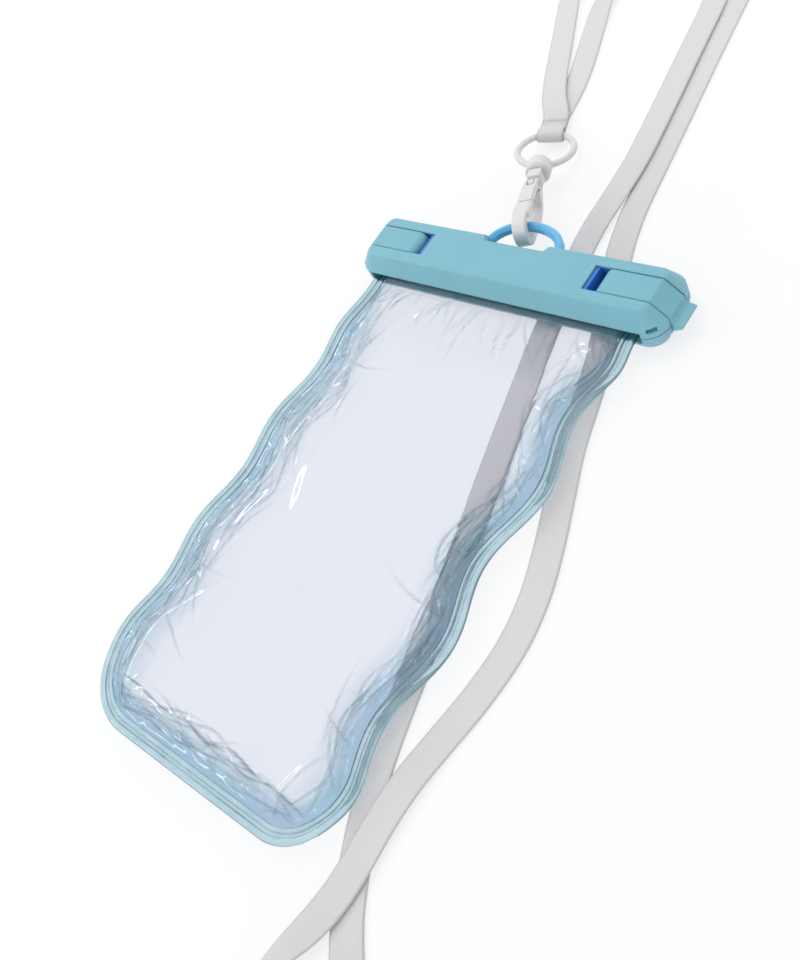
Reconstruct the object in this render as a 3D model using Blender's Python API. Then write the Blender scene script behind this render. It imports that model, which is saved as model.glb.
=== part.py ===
"""Waterproof phone case: a soft clear pouch with a welded rim, closed by a two-bar clamp with a latch at each end,
and carried on a neck ribbon by a swivel snap hook.

The case lies on its back. X runs along the clamp, +Y from the pouch towards the clamp and the ribbon, +Z is the
front. The origin is at the middle of the case's footprint, on the surface it lies on. Lengths are in metres.
"""

import math

import bmesh
import bpy
import numpy as np
from mathutils import Matrix, Vector

# Clearance between neighbouring pieces
FIT = 0.0003

# Pouch
POUCH_LENGTH = 0.1844  # from the bottom of the rim to the lower side of the clamp
POUCH_HALF_WIDTH = 0.0565
LEFT_CORNER_RADIUS = 0.027
RIGHT_CORNER_RADIUS = 0.019
RIM_WIDTH = 0.005
RIM_THICKNESS = 0.0016
FILM_THICKNESS = 0.0005
FILM_SPLIT = 0.0008  # how far apart the two films' middles are where they meet the rim
LEFT_WAVE = 0.0018
LEFT_WAVE_PITCH = 0.046
LEFT_WAVE_CREST = 0.118  # the height up the pouch at which the left side is widest
RIGHT_WAVE = 0.0028
RIGHT_WAVE_PITCH = 0.054
RIGHT_WAVE_CREST = 0.125
RIM_PLANE_BOTTOM = 0.0054  # the rim's height at the bottom of the pouch
SIDE_RAMP = 0.013  # how far in from the rim the film reaches its full bulge
MOUTH_RAMP = 0.0022  # the same inside the clamp
BOTTOM_RAMP = 0.010
FRONT_BULGE_Z = 0.0106
REAR_REST_Z = 0.00025  # the rear film's middle where the pouch lies on its back
REAR_LIFT_Z = 0.0019  # and further up, where the ribbon passes under it
REST_END = 0.046  # the pouch lies on its back up to this height
LIFT_START = 0.070
CLAMP_TAPER = 0.0264  # how far below the clamp the pouch starts to narrow into it

# Clamp bars
BAR_REACH = 0.008  # how far the bars reach past the pouch at each side
BAR_WIDTH = 0.0253
BAR_CORNER = 0.008
PARTING_Z = 0.0070
FRONT_FACE_Z = 0.0163
FRONT_BEVEL_Z = 0.0100  # where the front bar's bevels start
END_BEVEL = 0.0055
SIDE_BEVEL = 0.0038
FACE_ROUNDING = 0.0005
REAR_BEVEL_Z = 0.0050
REAR_BEVEL = 0.0030
BACK_RECESS = 0.0013  # the rear bar's middle stands this much clear of the surface
BACK_PAD = 0.015  # the length of the pads that the rear bar's ends lie on
MOUTH_ROOM = 0.0013  # the room at each side of the pouch's mouth in its seat
MOUTH_DEPTH = 0.0088  # how far past the bar's middle the films reach
REAR_SEAT_Z = 0.0044
SCOOP_HALF_WIDTH = 0.0125
SCOOP_RAMP = 0.0045
SCOOP_FACE_DEPTH = 0.0025  # how far the scoop cuts in behind the face's edge
SCOOP_WALL = 0.0011  # what the scoop leaves of the wall behind the films
NOTCH_WIDTH = 0.0034
NOTCH_HEIGHT = 0.0014
NOTCH_DEPTH = 0.0016
PEG_RADIUS = 0.0012
PEG_LENGTH = 0.0028
PEG_FROM_END = 0.0039
PEG_Y = 0.0086

# Seals
GASKET_END_ROOM = 0.0005
GASKET_WIDTH = 0.0126
GASKET_BASE = 0.0007
GASKET_RIDGE = 0.0012
GASKET_RIDGES = 3

# Inner frame, with the arch that the hook hangs on
PLATE_THICKNESS = 0.0014
PLATE_FROM_END = 0.009  # how far the plate stops short of the bar's end
PLATE_HALF_WIDTH = 0.0084
BLOCK_HALF_LENGTH = 0.0225
BLOCK_TOP_Z = 0.0134
BLOCK_BACK = 0.0060
ARCH_HALF_SPAN = 0.0146
ARCH_RISE = 0.0083  # how far the arch stands out past the bar
ARCH_BAR = 0.0030
ARCH_DEPTH = 0.0038

# Latches
LATCH_WIDTH = 0.0095
LATCH_REACH = 0.023  # from the bar's end in to the latch's pin
LATCH_PIN_Z = 0.0132
LATCH_PIN_RADIUS = 0.0010
LATCH_RUNNING_FIT = 0.00025
LATCH_PIN_LENGTH = 0.0142
LATCH_UNDERSIDE_Z = 0.0130
LATCH_CATCH_RADIUS = 0.0213
LATCH_FOOT_Z = 0.0009
LATCH_EDGE = 0.00035
TAB_REACH = 0.0035  # how far the finger tab flares out past the bar's end
RECESS_REACH = 0.0072  # from the latch's pin in to the inner end of its recess
EAR_THICKNESS = 0.0018
CRADLE_WALL = 0.0013

# Snap hook, in its own axes: U along it towards the ring, W across its width, T through its thickness
HOOK_THICKNESS = 0.0050
NOSE_THICKNESS = 0.0062
SHANK_HALF_WIDTH = 0.00275  # also how far the gate's and the nose's outer side stand from the hook's axis
HOOK_LENGTH = 0.0357
HOOK_BEND = 0.0034
HOOK_SPINE = 0.0026
HOOK_NOSE = 0.0025
EYE_LENGTH = 0.0212
EYE_WIDTH = 0.0070
NOSE_TIP_U = 0.0150
GATE_PIVOT_U = 0.0277
GATE_THICKNESS = 0.0021
GATE_BOSS = 0.0020
GATE_CHEEK = 0.0011
GATE_PIN_RADIUS = 0.0007
POST_RADIUS = 0.0017
KNOB_RADIUS = 0.0026
KNOB_LENGTH = 0.0038
ARCH_IN_EYE_U = 0.0072
HOOK_TURN = math.radians(24.0)  # the hook's lean to the left of +Y
HOOK_SLOPE = math.radians(11.0)  # its fall towards the ring
HOOK_X = -0.0050  # where it hangs on the arch

# Swivel ring
RING_HALF_LENGTH = 0.01065
RING_HALF_WIDTH = 0.0112
RING_WIRE_RADIUS = 0.00125
COLLAR_RADIUS = 0.0047
COLLAR_LENGTH = 0.0060
RING_SET_BACK = 0.0006  # from the collar's far end in to the ring wire's middle
RING_ROLL = math.radians(-11.0)

# Neck ribbon
RIBBON_WIDTH = 0.010
RIBBON_THICKNESS = 0.0008
RIBBON_TAIL = 0.0075  # the sewn end beyond the ring
RIBBON_STATION = 0.0075
# The ribbon's route, chosen by hand: x, y, the height of its lower edge (millimetres) and its tilt on edge (degrees)
RIBBON_ROUTE_MM = [
    (-30.98, 165.5, 1.58, -10.8), (-32.12, 168.3, 1.66, -9.5), (-35.2, 173, 1.72, -6),
    (-39.7, 178.8, 1.5, -2.5), (-45.6, 189.2, 1.25, 0), (-51.6, 202, 1, 0), (-59.6, 219, 0.2, 2),
    (-68.4, 238.4, 0.05, 8), (-74, 254, 0.05, 34), (-76.5, 270, 0.05, 66), (-73, 284, 0.05, 80),
    (-62, 294.5, 0.05, 80), (-46, 299.5, 0.05, 80), (-29.5, 300, 0.05, 80), (-14, 295, 0.05, 80),
    (-3, 284, 0.05, 76), (3.8, 269, 0.05, 52), (7.2, 253.5, 0.05, 20), (8.4, 239.2, 0.05, 3),
    (12.2, 209.2, 0.05, 0), (16.2, 180.8, 0.05, 0), (19.8, 154.8, 0.05, 0), (22.4, 135.6, 0.05, 0),
    (24.3, 125, 0.05, 0), (27.9, 111.5, 0.05, 0), (33, 98.5, 0.05, 0), (38.3, 85.5, 0.05, 0),
    (43.5, 72, 0.05, 0), (48.6, 53.5, 0.05, 0), (53.4, 35.2, 0.05, 0), (59.4, 18.5, 0.05, 0),
    (65.2, 2.5, 0.05, 0), (69.7, -13.2, 0.05, 0), (71.6, -29.2, 0.05, 0), (70.4, -46.2, 0.05, 0),
    (67.8, -62, 0.2, 0), (66.3, -75, 1.1, 0), (65.9, -87, 1.25, 0), (66.3, -97.8, 1.25, 0),
    (66.2, -108, 1.25, 0), (64.7, -118, 1.2, -4), (61.7, -129, 0.6, -24), (59.4, -141, 0.05, -54),
    (60.4, -153, 0.05, -76), (67.5, -163, 0.05, -80), (79, -167.5, 0.05, -80), (90, -163.5, 0.05, -80),
    (96.5, -153.5, 0.05, -74), (95.5, -142, 0.05, -54), (89, -131.5, 0.05, -28), (81, -123, 0.05, -8),
    (73.2, -113.5, 0.05, 0), (67.8, -104.5, 0.05, 0), (63.6, -96, 0.05, 0), (59.4, -86.5, 0.05, 0),
    (55, -74, 0.05, 0), (51, -58, 0.05, 0), (47.2, -40, 0.05, 0), (43, -20, 0.05, 0), (38, 1, 0.05, 0),
    (32.5, 22, 0.05, 0), (27, 45, 0.05, 0), (21.5, 68, 0.05, 0), (16.8, 91, 0.05, 0), (13.8, 108, 0.1, 0),
    (12.9, 121, 0.9, 0), (12.9, 133.9, 1.2, 0), (12.1, 153.7, 1.25, 0), (8.7, 180, 1.25, 0),
    (4.5, 208.8, 1.25, 0), (0.1, 239.1, 1.2, -4), (-3.6, 251, 0.7, -26), (-10.5, 262, 0.05, -58),
    (-20, 268.5, 0.05, -76), (-32, 269.5, 0.05, -78), (-42.5, 263.5, 0.05, -68), (-48.8, 252, 0.05, -40),
    (-50.6, 238.5, 0.05, -12), (-46, 221.5, 0.05, -2), (-40.2, 204, 0.05, 0), (-36.2, 190, 0.05, 0.5),
    (-34.3, 180, 0.05, 2.5), (-33.2, 173, 0.16, 6), (-32.2, 168.01, 0.38, 9.5), (-31.08, 165.23, 0.52, 10.8),
]

# Places worked out from the sizes
CASE_LENGTH = POUCH_LENGTH + BAR_WIDTH + ARCH_RISE
Y_BOTTOM = -CASE_LENGTH / 2
Y_BAR = Y_BOTTOM + POUCH_LENGTH + BAR_WIDTH / 2
Y_MOUTH = Y_BAR + MOUTH_DEPTH
BAR_HALF = POUCH_HALF_WIDTH + BAR_REACH
MOUTH_HALF_WIDTH = POUCH_HALF_WIDTH + MOUTH_ROOM
BACK_PAD_START = BAR_HALF - BACK_PAD
PLATE_HALF_LENGTH = BAR_HALF - PLATE_FROM_END
LATCH_PIN_X = BAR_HALF - LATCH_REACH
RECESS_X = LATCH_PIN_X - RECESS_REACH
PEG_X = BAR_HALF - PEG_FROM_END
GASKET_LENGTH = 2 * (POUCH_HALF_WIDTH - RIM_WIDTH - FIT - MOUTH_RAMP - GASKET_END_ROOM)
BULGE_END = POUCH_LENGTH - CLAMP_TAPER
BAR_HALF_WIDTH = BAR_WIDTH / 2
REAR_TOP_Z = PARTING_Z - FIT / 2
FRONT_BASE_Z = PARTING_Z + FIT / 2
STACK = REAR_TOP_Z - REAR_SEAT_Z  # what the film and the seal fill on each side of the parting plane
FRONT_SEAT_Z = PARTING_Z + (PARTING_Z - REAR_SEAT_Z)
REAR_FILM_CLAMP_Z = REAR_SEAT_Z + FIT + FILM_THICKNESS / 2
FRONT_FILM_CLAMP_Z = FRONT_SEAT_Z - FIT - FILM_THICKNESS / 2
PLATE_TOP_Z = FRONT_SEAT_Z + PLATE_THICKNESS
CHANNEL_HALF = LATCH_WIDTH / 2 + FIT
BARREL_RADIUS = FRONT_FACE_Z - LATCH_PIN_Z
ARCH_Z = BLOCK_TOP_Z - ARCH_DEPTH / 2
ARCH_CROWN_Y = Y_BOTTOM + CASE_LENGTH - ARCH_BAR / 2
EYE_HIGH = SHANK_HALF_WIDTH - HOOK_NOSE
EYE_LOW = EYE_HIGH - EYE_WIDTH
EYE_MIDDLE = (EYE_HIGH + EYE_LOW) / 2
GATE_PIVOT_W = SHANK_HALF_WIDTH - GATE_BOSS
RING_CENTRE_U = HOOK_LENGTH + FIT + COLLAR_LENGTH - RING_SET_BACK + RING_HALF_WIDTH

# Colours as sRGB
TURQUOISE = (0.50, 0.74, 0.79)
ARCH_BLUE = (0.33, 0.66, 0.90)
OFF_WHITE = (0.88, 0.87, 0.86)
RIBBON_GREY = (0.82, 0.81, 0.79)
FILM_TINT = (0.86, 0.90, 0.96)
RIM_BLUE = (0.68, 0.85, 0.92)
SEAL_CLEAR = (0.86, 0.90, 0.92)
STEEL = (0.72, 0.72, 0.74)


def clear_scene():
    for obj in list(bpy.data.objects):
        bpy.data.objects.remove(obj, do_unlink=True)


def linear(colour):
    return [c / 12.92 if c <= 0.04045 else ((c + 0.055) / 1.055) ** 2.4 for c in colour]


def material(name, colour, roughness, metallic=0.0, transmission=0.0):
    mat = bpy.data.materials.new(name)
    mat.use_nodes = True
    shader = mat.node_tree.nodes["Principled BSDF"]
    shader.inputs["Base Color"].default_value = (*linear(colour), 1.0)
    shader.inputs["Roughness"].default_value = roughness
    shader.inputs["Metallic"].default_value = metallic
    shader.inputs["Transmission Weight"].default_value = transmission
    return mat


def solid(name, verts, faces):
    """One closed mesh object with its faces pointing out."""
    mesh = bpy.data.meshes.new(name)
    mesh.from_pydata([tuple(v) for v in verts], [], faces)
    form = bmesh.new()
    form.from_mesh(mesh)
    bmesh.ops.recalc_face_normals(form, faces=form.faces)
    form.to_mesh(mesh)
    form.free()
    obj = bpy.data.objects.new(name, mesh)
    bpy.context.scene.collection.objects.link(obj)
    return obj


def finish(obj, mat, sharp_degrees=35.0):
    obj.data.materials.append(mat)
    obj.data.shade_smooth()
    obj.data.set_sharp_from_angle(angle=math.radians(sharp_degrees))
    return obj


def loft(name, rings, closed=False):
    """Skins a row of rings that have equal numbers of points, and caps the ends unless it closes on itself."""
    count = len(rings[0])
    verts = [point for ring in rings for point in ring]
    faces = []
    spans = len(rings) if closed else len(rings) - 1
    for i in range(spans):
        a = i * count
        b = ((i + 1) % len(rings)) * count
        for k in range(count):
            n = (k + 1) % count
            faces.append((a + k, a + n, b + n, b + k))
    if not closed:
        faces.append(tuple(range(count)))
        faces.append(tuple(range(len(verts) - count, len(verts))))
    return solid(name, verts, faces)


def prism(name, outline, start, end, axis="Z"):
    """Extrudes an outline along an axis: XY outlines along Z, XZ outlines along Y, and YZ outlines along X."""
    place = {
        "X": lambda a, b, h: (h, a, b),
        "Y": lambda a, b, h: (a, h, b),
        "Z": lambda a, b, h: (a, b, h),
    }[axis]
    return loft(name, [[place(a, b, h) for a, b in outline] for h in (start, end)])


def box(name, low, high):
    outline = [(low[0], low[1]), (high[0], low[1]), (high[0], high[1]), (low[0], high[1])]
    return prism(name, outline, low[2], high[2])


def rod(name, radius, start, end, axis, centre, sides=20):
    """A round bar along X, Y or Z through a centre given in the other two axes."""
    outline = [
        (centre[0] + radius * math.cos(t), centre[1] + radius * math.sin(t))
        for t in np.linspace(0, 2 * math.pi, sides, endpoint=False)
    ]
    return prism(name, outline, start, end, axis)


def hide_tool(tool):
    tool.hide_render = True
    tool.display_type = "WIRE"


def boolean(target, tool, operation):
    step = target.modifiers.new(tool.name, "BOOLEAN")
    step.operation = operation
    step.solver = "EXACT"
    step.object = tool
    hide_tool(tool)


def cut(target, *tools):
    for tool in tools:
        boolean(target, tool, "DIFFERENCE")


def fuse(target, *tools):
    for tool in tools:
        boolean(target, tool, "UNION")


def bevel(obj, width, segments=2, degrees=40.0):
    step = obj.modifiers.new("edge", "BEVEL")
    step.width = width
    step.segments = segments
    step.limit_method = "ANGLE"
    step.angle_limit = math.radians(degrees)
    step.harden_normals = False


def arc(centre, radius, start, end, steps):
    """Points on an arc, with its angles in degrees."""
    return [
        (centre[0] + radius * math.cos(t), centre[1] + radius * math.sin(t))
        for t in np.radians(np.linspace(start, end, steps + 1))
    ]


def rounded_rectangle(half_x, half_y, radius, centre_y=0.0, steps=6):
    corners = [(1, 1, 0), (-1, 1, 90), (-1, -1, 180), (1, -1, 270)]
    points = []
    for sx, sy, start in corners:
        centre = (sx * (half_x - radius), centre_y + sy * (half_y - radius))
        points += arc(centre, radius, start, start + 90, steps)
    return points


def smooth(t):
    t = np.clip(t, 0.0, 1.0)
    return t * t * (3.0 - 2.0 * t)


# The pouch's outline. Heights up the pouch are measured from its bottom, insets inwards from the rim's outer edge.
def side_half_width(side, height):
    """Half the pouch's width on one side, with the slack waves that die out at the clamp and at the corner."""
    if side < 0:
        wave, pitch, crest, corner = LEFT_WAVE, LEFT_WAVE_PITCH, LEFT_WAVE_CREST, LEFT_CORNER_RADIUS
    else:
        wave, pitch, crest, corner = RIGHT_WAVE, RIGHT_WAVE_PITCH, RIGHT_WAVE_CREST, RIGHT_CORNER_RADIUS
    fade = smooth((POUCH_LENGTH - height) / corner) * smooth((height - corner / 2) / corner)
    return POUCH_HALF_WIDTH + fade * wave * np.cos(2 * math.pi * (height - crest) / pitch)


def corner_radius(side):
    return LEFT_CORNER_RADIUS if side < 0 else RIGHT_CORNER_RADIUS


def film_half_width(side, height, inset):
    """Half the film's width at a height, following the rim's rounded bottom corner."""
    radius = corner_radius(side) - inset
    drop = np.clip(radius - (height - inset), 0.0, radius)
    return side_half_width(side, height) - inset - radius + np.sqrt(radius**2 - drop**2)


def rim_plane(height):
    """The rim's height above the surface: it falls from the clamp to the bottom of the pouch."""
    share = np.clip(height / POUCH_LENGTH, 0.0, 1.0)
    return RIM_PLANE_BOTTOM + (PARTING_Z - RIM_PLANE_BOTTOM) * share


def row_heights():
    """The heights at which both the rim's legs and the films have their stations, so that they stay apart."""
    return np.append(np.linspace(RIGHT_CORNER_RADIUS, POUCH_LENGTH, 28), Y_MOUTH - Y_BOTTOM)


def rim_edge(inset, corner_steps=9):
    """The rim's edge from the mouth down the left leg, round the bottom and up the right leg."""
    points = []
    for side in (-1, 1):
        radius = corner_radius(side)
        leg = [
            (side * (side_half_width(side, h) - inset), h) for h in row_heights()[::-1] if h > radius + 0.001
        ]
        middle = side_half_width(side, radius) - radius
        angles = np.radians(np.linspace(0, 90, corner_steps + 1))
        turn = [
            (side * (middle + (radius - inset) * math.cos(a)), radius - (radius - inset) * math.sin(a))
            for a in angles
        ]
        path = leg + turn
        points += path if side < 0 else path[::-1]
    return points


def pouch_rim(mat):
    """The welded band: a flat strip with rounded edges, swept round the pouch."""
    half = RIM_THICKNESS / 2
    round_in = 0.3 * RIM_THICKNESS
    section = [
        (0.0, -half + round_in), (0.0, half - round_in), (round_in, half), (RIM_WIDTH - round_in, half),
        (RIM_WIDTH, half - round_in), (RIM_WIDTH, -half + round_in), (RIM_WIDTH - round_in, -half),
        (round_in, -half),
    ]
    edges = {inset: rim_edge(inset) for inset in {across for across, _ in section}}
    rings = []
    for i in range(len(edges[0.0])):
        ring = []
        for across, rise in section:
            x, height = edges[across][i]
            ring.append((x, Y_BOTTOM + height, rim_plane(height) + rise))
        rings.append(ring)
    return finish(loft("welded_rim", rings), mat, 60)


def side_ramp(height):
    """How far in from the rim the film's side slope reaches: it tightens towards the clamp."""
    return SIDE_RAMP + (MOUTH_RAMP - SIDE_RAMP) * smooth((height - BULGE_END) / (POUCH_LENGTH - BULGE_END))


def film_columns(half, height):
    """Places across the film: close together on the side slopes, wide apart between them."""
    ramp = side_ramp(height)
    flat = np.linspace(0.0, half - ramp, 4, endpoint=False)
    slope = half - ramp * np.linspace(1.0, 0.0, 6)
    return np.concatenate([flat, slope])


def film_rows(inset):
    corner = inset + (RIGHT_CORNER_RADIUS - inset) * (1 - np.cos(np.linspace(0, math.pi / 2, 7)))
    return np.concatenate([corner[:-1], row_heights()])


def bulge_height(front, height):
    """The height of a film's middle at its fullest, along the pouch."""
    into_clamp = smooth((height - BULGE_END) / (POUCH_LENGTH - BULGE_END))
    if front:
        return FRONT_BULGE_Z + (FRONT_FILM_CLAMP_Z - FRONT_BULGE_Z) * into_clamp
    lift = smooth((height - REST_END) / (LIFT_START - REST_END))
    lying = REAR_REST_Z + (REAR_LIFT_Z - REAR_REST_Z) * lift
    return lying + (REAR_FILM_CLAMP_Z - lying) * into_clamp


def film(name, front, mat):
    """One wall of the pouch: a thin sheet that bulges round the pocket and runs flat into the clamp."""
    inset = RIM_WIDTH + FIT
    sign = 1 if front else -1
    rows = []
    for height in film_rows(inset):
        edge = rim_plane(height) + sign * FILM_SPLIT / 2
        row = []
        for side in (-1, 1):
            half = film_half_width(side, height, inset)
            for x in film_columns(half, height):
                full = smooth((half - x) / side_ramp(height)) * smooth((height - inset) / BOTTOM_RAMP)
                row.append((side * x, Y_BOTTOM + height, edge + (bulge_height(front, height) - edge) * full))
        count = len(row) // 2
        rows.append(row[count - 1 : 0 : -1] + row[count:])
    half_thick = FILM_THICKNESS / 2
    verts = [(x, y, z + half_thick) for row in rows for x, y, z in row]
    verts += [(x, y, z - half_thick) for row in rows for x, y, z in row]
    across = len(rows[0])
    under = len(rows) * across
    faces = []
    for i in range(len(rows) - 1):
        for k in range(across - 1):
            a = i * across + k
            faces.append((a, a + 1, a + across + 1, a + across))
            faces.append((under + a, under + a + across, under + a + across + 1, under + a + 1))
    border = [(0, k) for k in range(across)] + [(i, across - 1) for i in range(1, len(rows))]
    border += [(len(rows) - 1, k) for k in range(across - 2, -1, -1)] + [(i, 0) for i in range(len(rows) - 2, 0, -1)]
    loop = [i * across + k for i, k in border]
    for a, b in zip(loop, loop[1:] + loop[:1]):
        faces.append((b, a, under + a, under + b))
    return finish(solid(name, verts, faces), mat, 60)


def bar_body(name, levels):
    """A bar's outer form: rounded rectangles at rising levels, each drawn in by its insets."""
    rings = []
    for z, inset_x, inset_y in levels:
        radius = max(BAR_CORNER - max(inset_x, inset_y), BAR_CORNER / 3)
        outline = rounded_rectangle(BAR_HALF - inset_x, BAR_HALF_WIDTH - inset_y, radius, Y_BAR, steps=7)
        rings.append([(x, y, z) for x, y in outline])
    return loft(name, rings)


def scoop_tool(name, base_z, top_z, low_inset, high_inset):
    """The dip in the bars' upper side under the arch, as a solid to cut away: its floor slopes with height."""
    far = Y_BAR + BAR_WIDTH
    rings = []
    for z, inset in ((base_z, low_inset), (top_z, high_inset)):
        floor = Y_BAR + BAR_HALF_WIDTH - inset
        lip = Y_BAR + BAR_HALF_WIDTH + SCOOP_RAMP / 2
        outer = SCOOP_HALF_WIDTH + SCOOP_RAMP
        ring = [(-outer, lip), (-SCOOP_HALF_WIDTH, floor), (SCOOP_HALF_WIDTH, floor), (outer, lip)]
        ring += [(outer, far), (-outer, far)]
        rings.append([(x, y, z) for x, y in ring])
    return loft(name, rings)


def catch_arc(radius, low_z, high_z, steps=7):
    """Points on the latch's catch arc about its pin, from low to high, for a latch at +X."""
    low = math.degrees(math.asin((low_z - LATCH_PIN_Z) / radius))
    high = math.degrees(math.asin((high_z - LATCH_PIN_Z) / radius))
    return arc((LATCH_PIN_X, LATCH_PIN_Z), radius, low, high, steps)


def bevel_line_x(z):
    """The end bevel's X at a height."""
    return BAR_HALF - END_BEVEL * (z - FRONT_BEVEL_Z) / (FRONT_FACE_Z - FRONT_BEVEL_Z)


# The latch's underside follows the bar's end: level, then down parallel to the bevel, then the catch arc
LATCH_WALL = 0.0027
CATCH_TOP_Z = FRONT_BEVEL_Z - 0.0014
UNDERSIDE_CORNER_X = bevel_line_x(LATCH_UNDERSIDE_Z) - LATCH_WALL / math.cos(
    math.atan2(END_BEVEL, FRONT_FACE_Z - FRONT_BEVEL_Z)
)


def latch_outline():
    """The latch's side view at +X: barrel, tongue, bevelled end, concave grip, finger tab, foot and catch."""
    pin = (LATCH_PIN_X, LATCH_PIN_Z)
    under = math.degrees(math.asin((LATCH_UNDERSIDE_Z - LATCH_PIN_Z) / BARREL_RADIUS))
    grip_z = FRONT_BEVEL_Z - 0.0016
    tip_x = BAR_HALF + TAB_REACH
    tab_z = LATCH_FOOT_Z + 0.0044
    outline = arc(pin, BARREL_RADIUS, 360 + under, 90, 15)
    outline += [(bevel_line_x(FRONT_FACE_Z), FRONT_FACE_Z), (BAR_HALF, FRONT_BEVEL_Z)]
    outline += [(BAR_HALF + 0.0002, grip_z), (BAR_HALF + 0.0009, grip_z - 0.0009)]
    outline += [(tip_x, grip_z - 0.0016), (tip_x + 0.0003, tab_z + 0.0010), (tip_x - 0.0004, tab_z)]
    outline += [(BAR_HALF - 0.0001, tab_z - 0.0014), (BAR_HALF - 0.0024, LATCH_FOOT_Z)]
    outline += catch_arc(LATCH_CATCH_RADIUS, LATCH_FOOT_Z, CATCH_TOP_Z)
    outline += [(UNDERSIDE_CORNER_X, LATCH_UNDERSIDE_Z)]
    return outline


def channel_outline(window_z):
    """What the front bar gives up to a latch: the recess by its barrel, the channel and the end's catch."""
    high = FRONT_FACE_Z + 0.002
    floor = LATCH_UNDERSIDE_Z - FIT
    barrel_end = LATCH_PIN_X + BARREL_RADIUS + 2 * FIT
    outline = [(RECESS_X, high), (RECESS_X, window_z), (barrel_end, window_z), (barrel_end, floor)]
    outline += [(UNDERSIDE_CORNER_X - FIT, floor)]
    outline += catch_arc(LATCH_CATCH_RADIUS - FIT, -FIT, CATCH_TOP_Z - FIT)[::-1]
    outline += [(BAR_HALF + 0.01, -FIT), (BAR_HALF + 0.01, high)]
    return outline


def mirrored(outline, side):
    return [(side * x, z) for x, z in outline]


def latch(side, name, mat):
    lever = prism(name, mirrored(latch_outline(), side), Y_BAR - LATCH_WIDTH / 2, Y_BAR + LATCH_WIDTH / 2, "Y")
    bevel(lever, LATCH_EDGE)
    bore = rod(
        f"{name}_bore",
        LATCH_PIN_RADIUS + LATCH_RUNNING_FIT,
        Y_BAR - LATCH_WIDTH,
        Y_BAR + LATCH_WIDTH,
        "Y",
        (side * LATCH_PIN_X, LATCH_PIN_Z),
    )
    cut(lever, bore)
    move_origin(lever, (side * LATCH_PIN_X, Y_BAR, LATCH_PIN_Z))
    return finish(lever, mat)


def move_origin(obj, place):
    """Puts an object's origin at a place, with its mesh left where it is."""
    obj.data.transform(Matrix.Translation(-Vector(place)))
    obj.location = place


def latch_pin(side, name, mat):
    half = LATCH_PIN_LENGTH / 2
    centre = (side * LATCH_PIN_X, LATCH_PIN_Z)
    return finish(rod(name, LATCH_PIN_RADIUS, Y_BAR - half, Y_BAR + half, "Y", centre), mat)


def rear_bar(mat):
    bar = bar_body(
        "rear_bar",
        [
            (0.0, REAR_BEVEL, REAR_BEVEL),
            (REAR_BEVEL_Z / 8, REAR_BEVEL * 0.72, REAR_BEVEL * 0.72),
            (REAR_BEVEL_Z, 0.0, 0.0),
            (REAR_TOP_Z, 0.0, 0.0),
        ],
    )
    below = -0.001
    side = Y_BAR - BAR_WIDTH
    slope = BACK_RECESS
    back = prism(
        "rear_back_recess",
        [
            (-BACK_PAD_START - slope, below), (BACK_PAD_START + slope, below),
            (BACK_PAD_START, BACK_RECESS), (-BACK_PAD_START, BACK_RECESS),
        ],
        side,
        Y_BAR + BAR_WIDTH,
        "Y",
    )
    seat = box(
        "rear_film_seat",
        (-MOUTH_HALF_WIDTH, side, REAR_SEAT_Z),
        (MOUTH_HALF_WIDTH, Y_MOUTH + FIT, REAR_TOP_Z + 0.001),
    )
    wall = BAR_HALF_WIDTH - MOUTH_DEPTH - FIT - SCOOP_WALL
    scoop = scoop_tool("rear_scoop", below, REAR_TOP_Z + 0.001, wall, wall)
    cut(bar, back, seat, scoop)
    for sx in (-1, 1):
        outline = mirrored(channel_outline(FRONT_FACE_Z), sx)
        cut(bar, prism(f"rear_catch_{sx}", outline, Y_BAR - CHANNEL_HALF, Y_BAR + CHANNEL_HALF, "Y"))
        for sy in (-1, 1):
            centre = (sx * PEG_X, Y_BAR + sy * PEG_Y)
            low = FRONT_BASE_Z - PEG_LENGTH - FIT
            cut(bar, rod(f"peg_socket_{sx}_{sy}", PEG_RADIUS + FIT, low, REAR_TOP_Z + 0.001, "Z", centre, 14))
    return finish(bar, mat)


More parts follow.
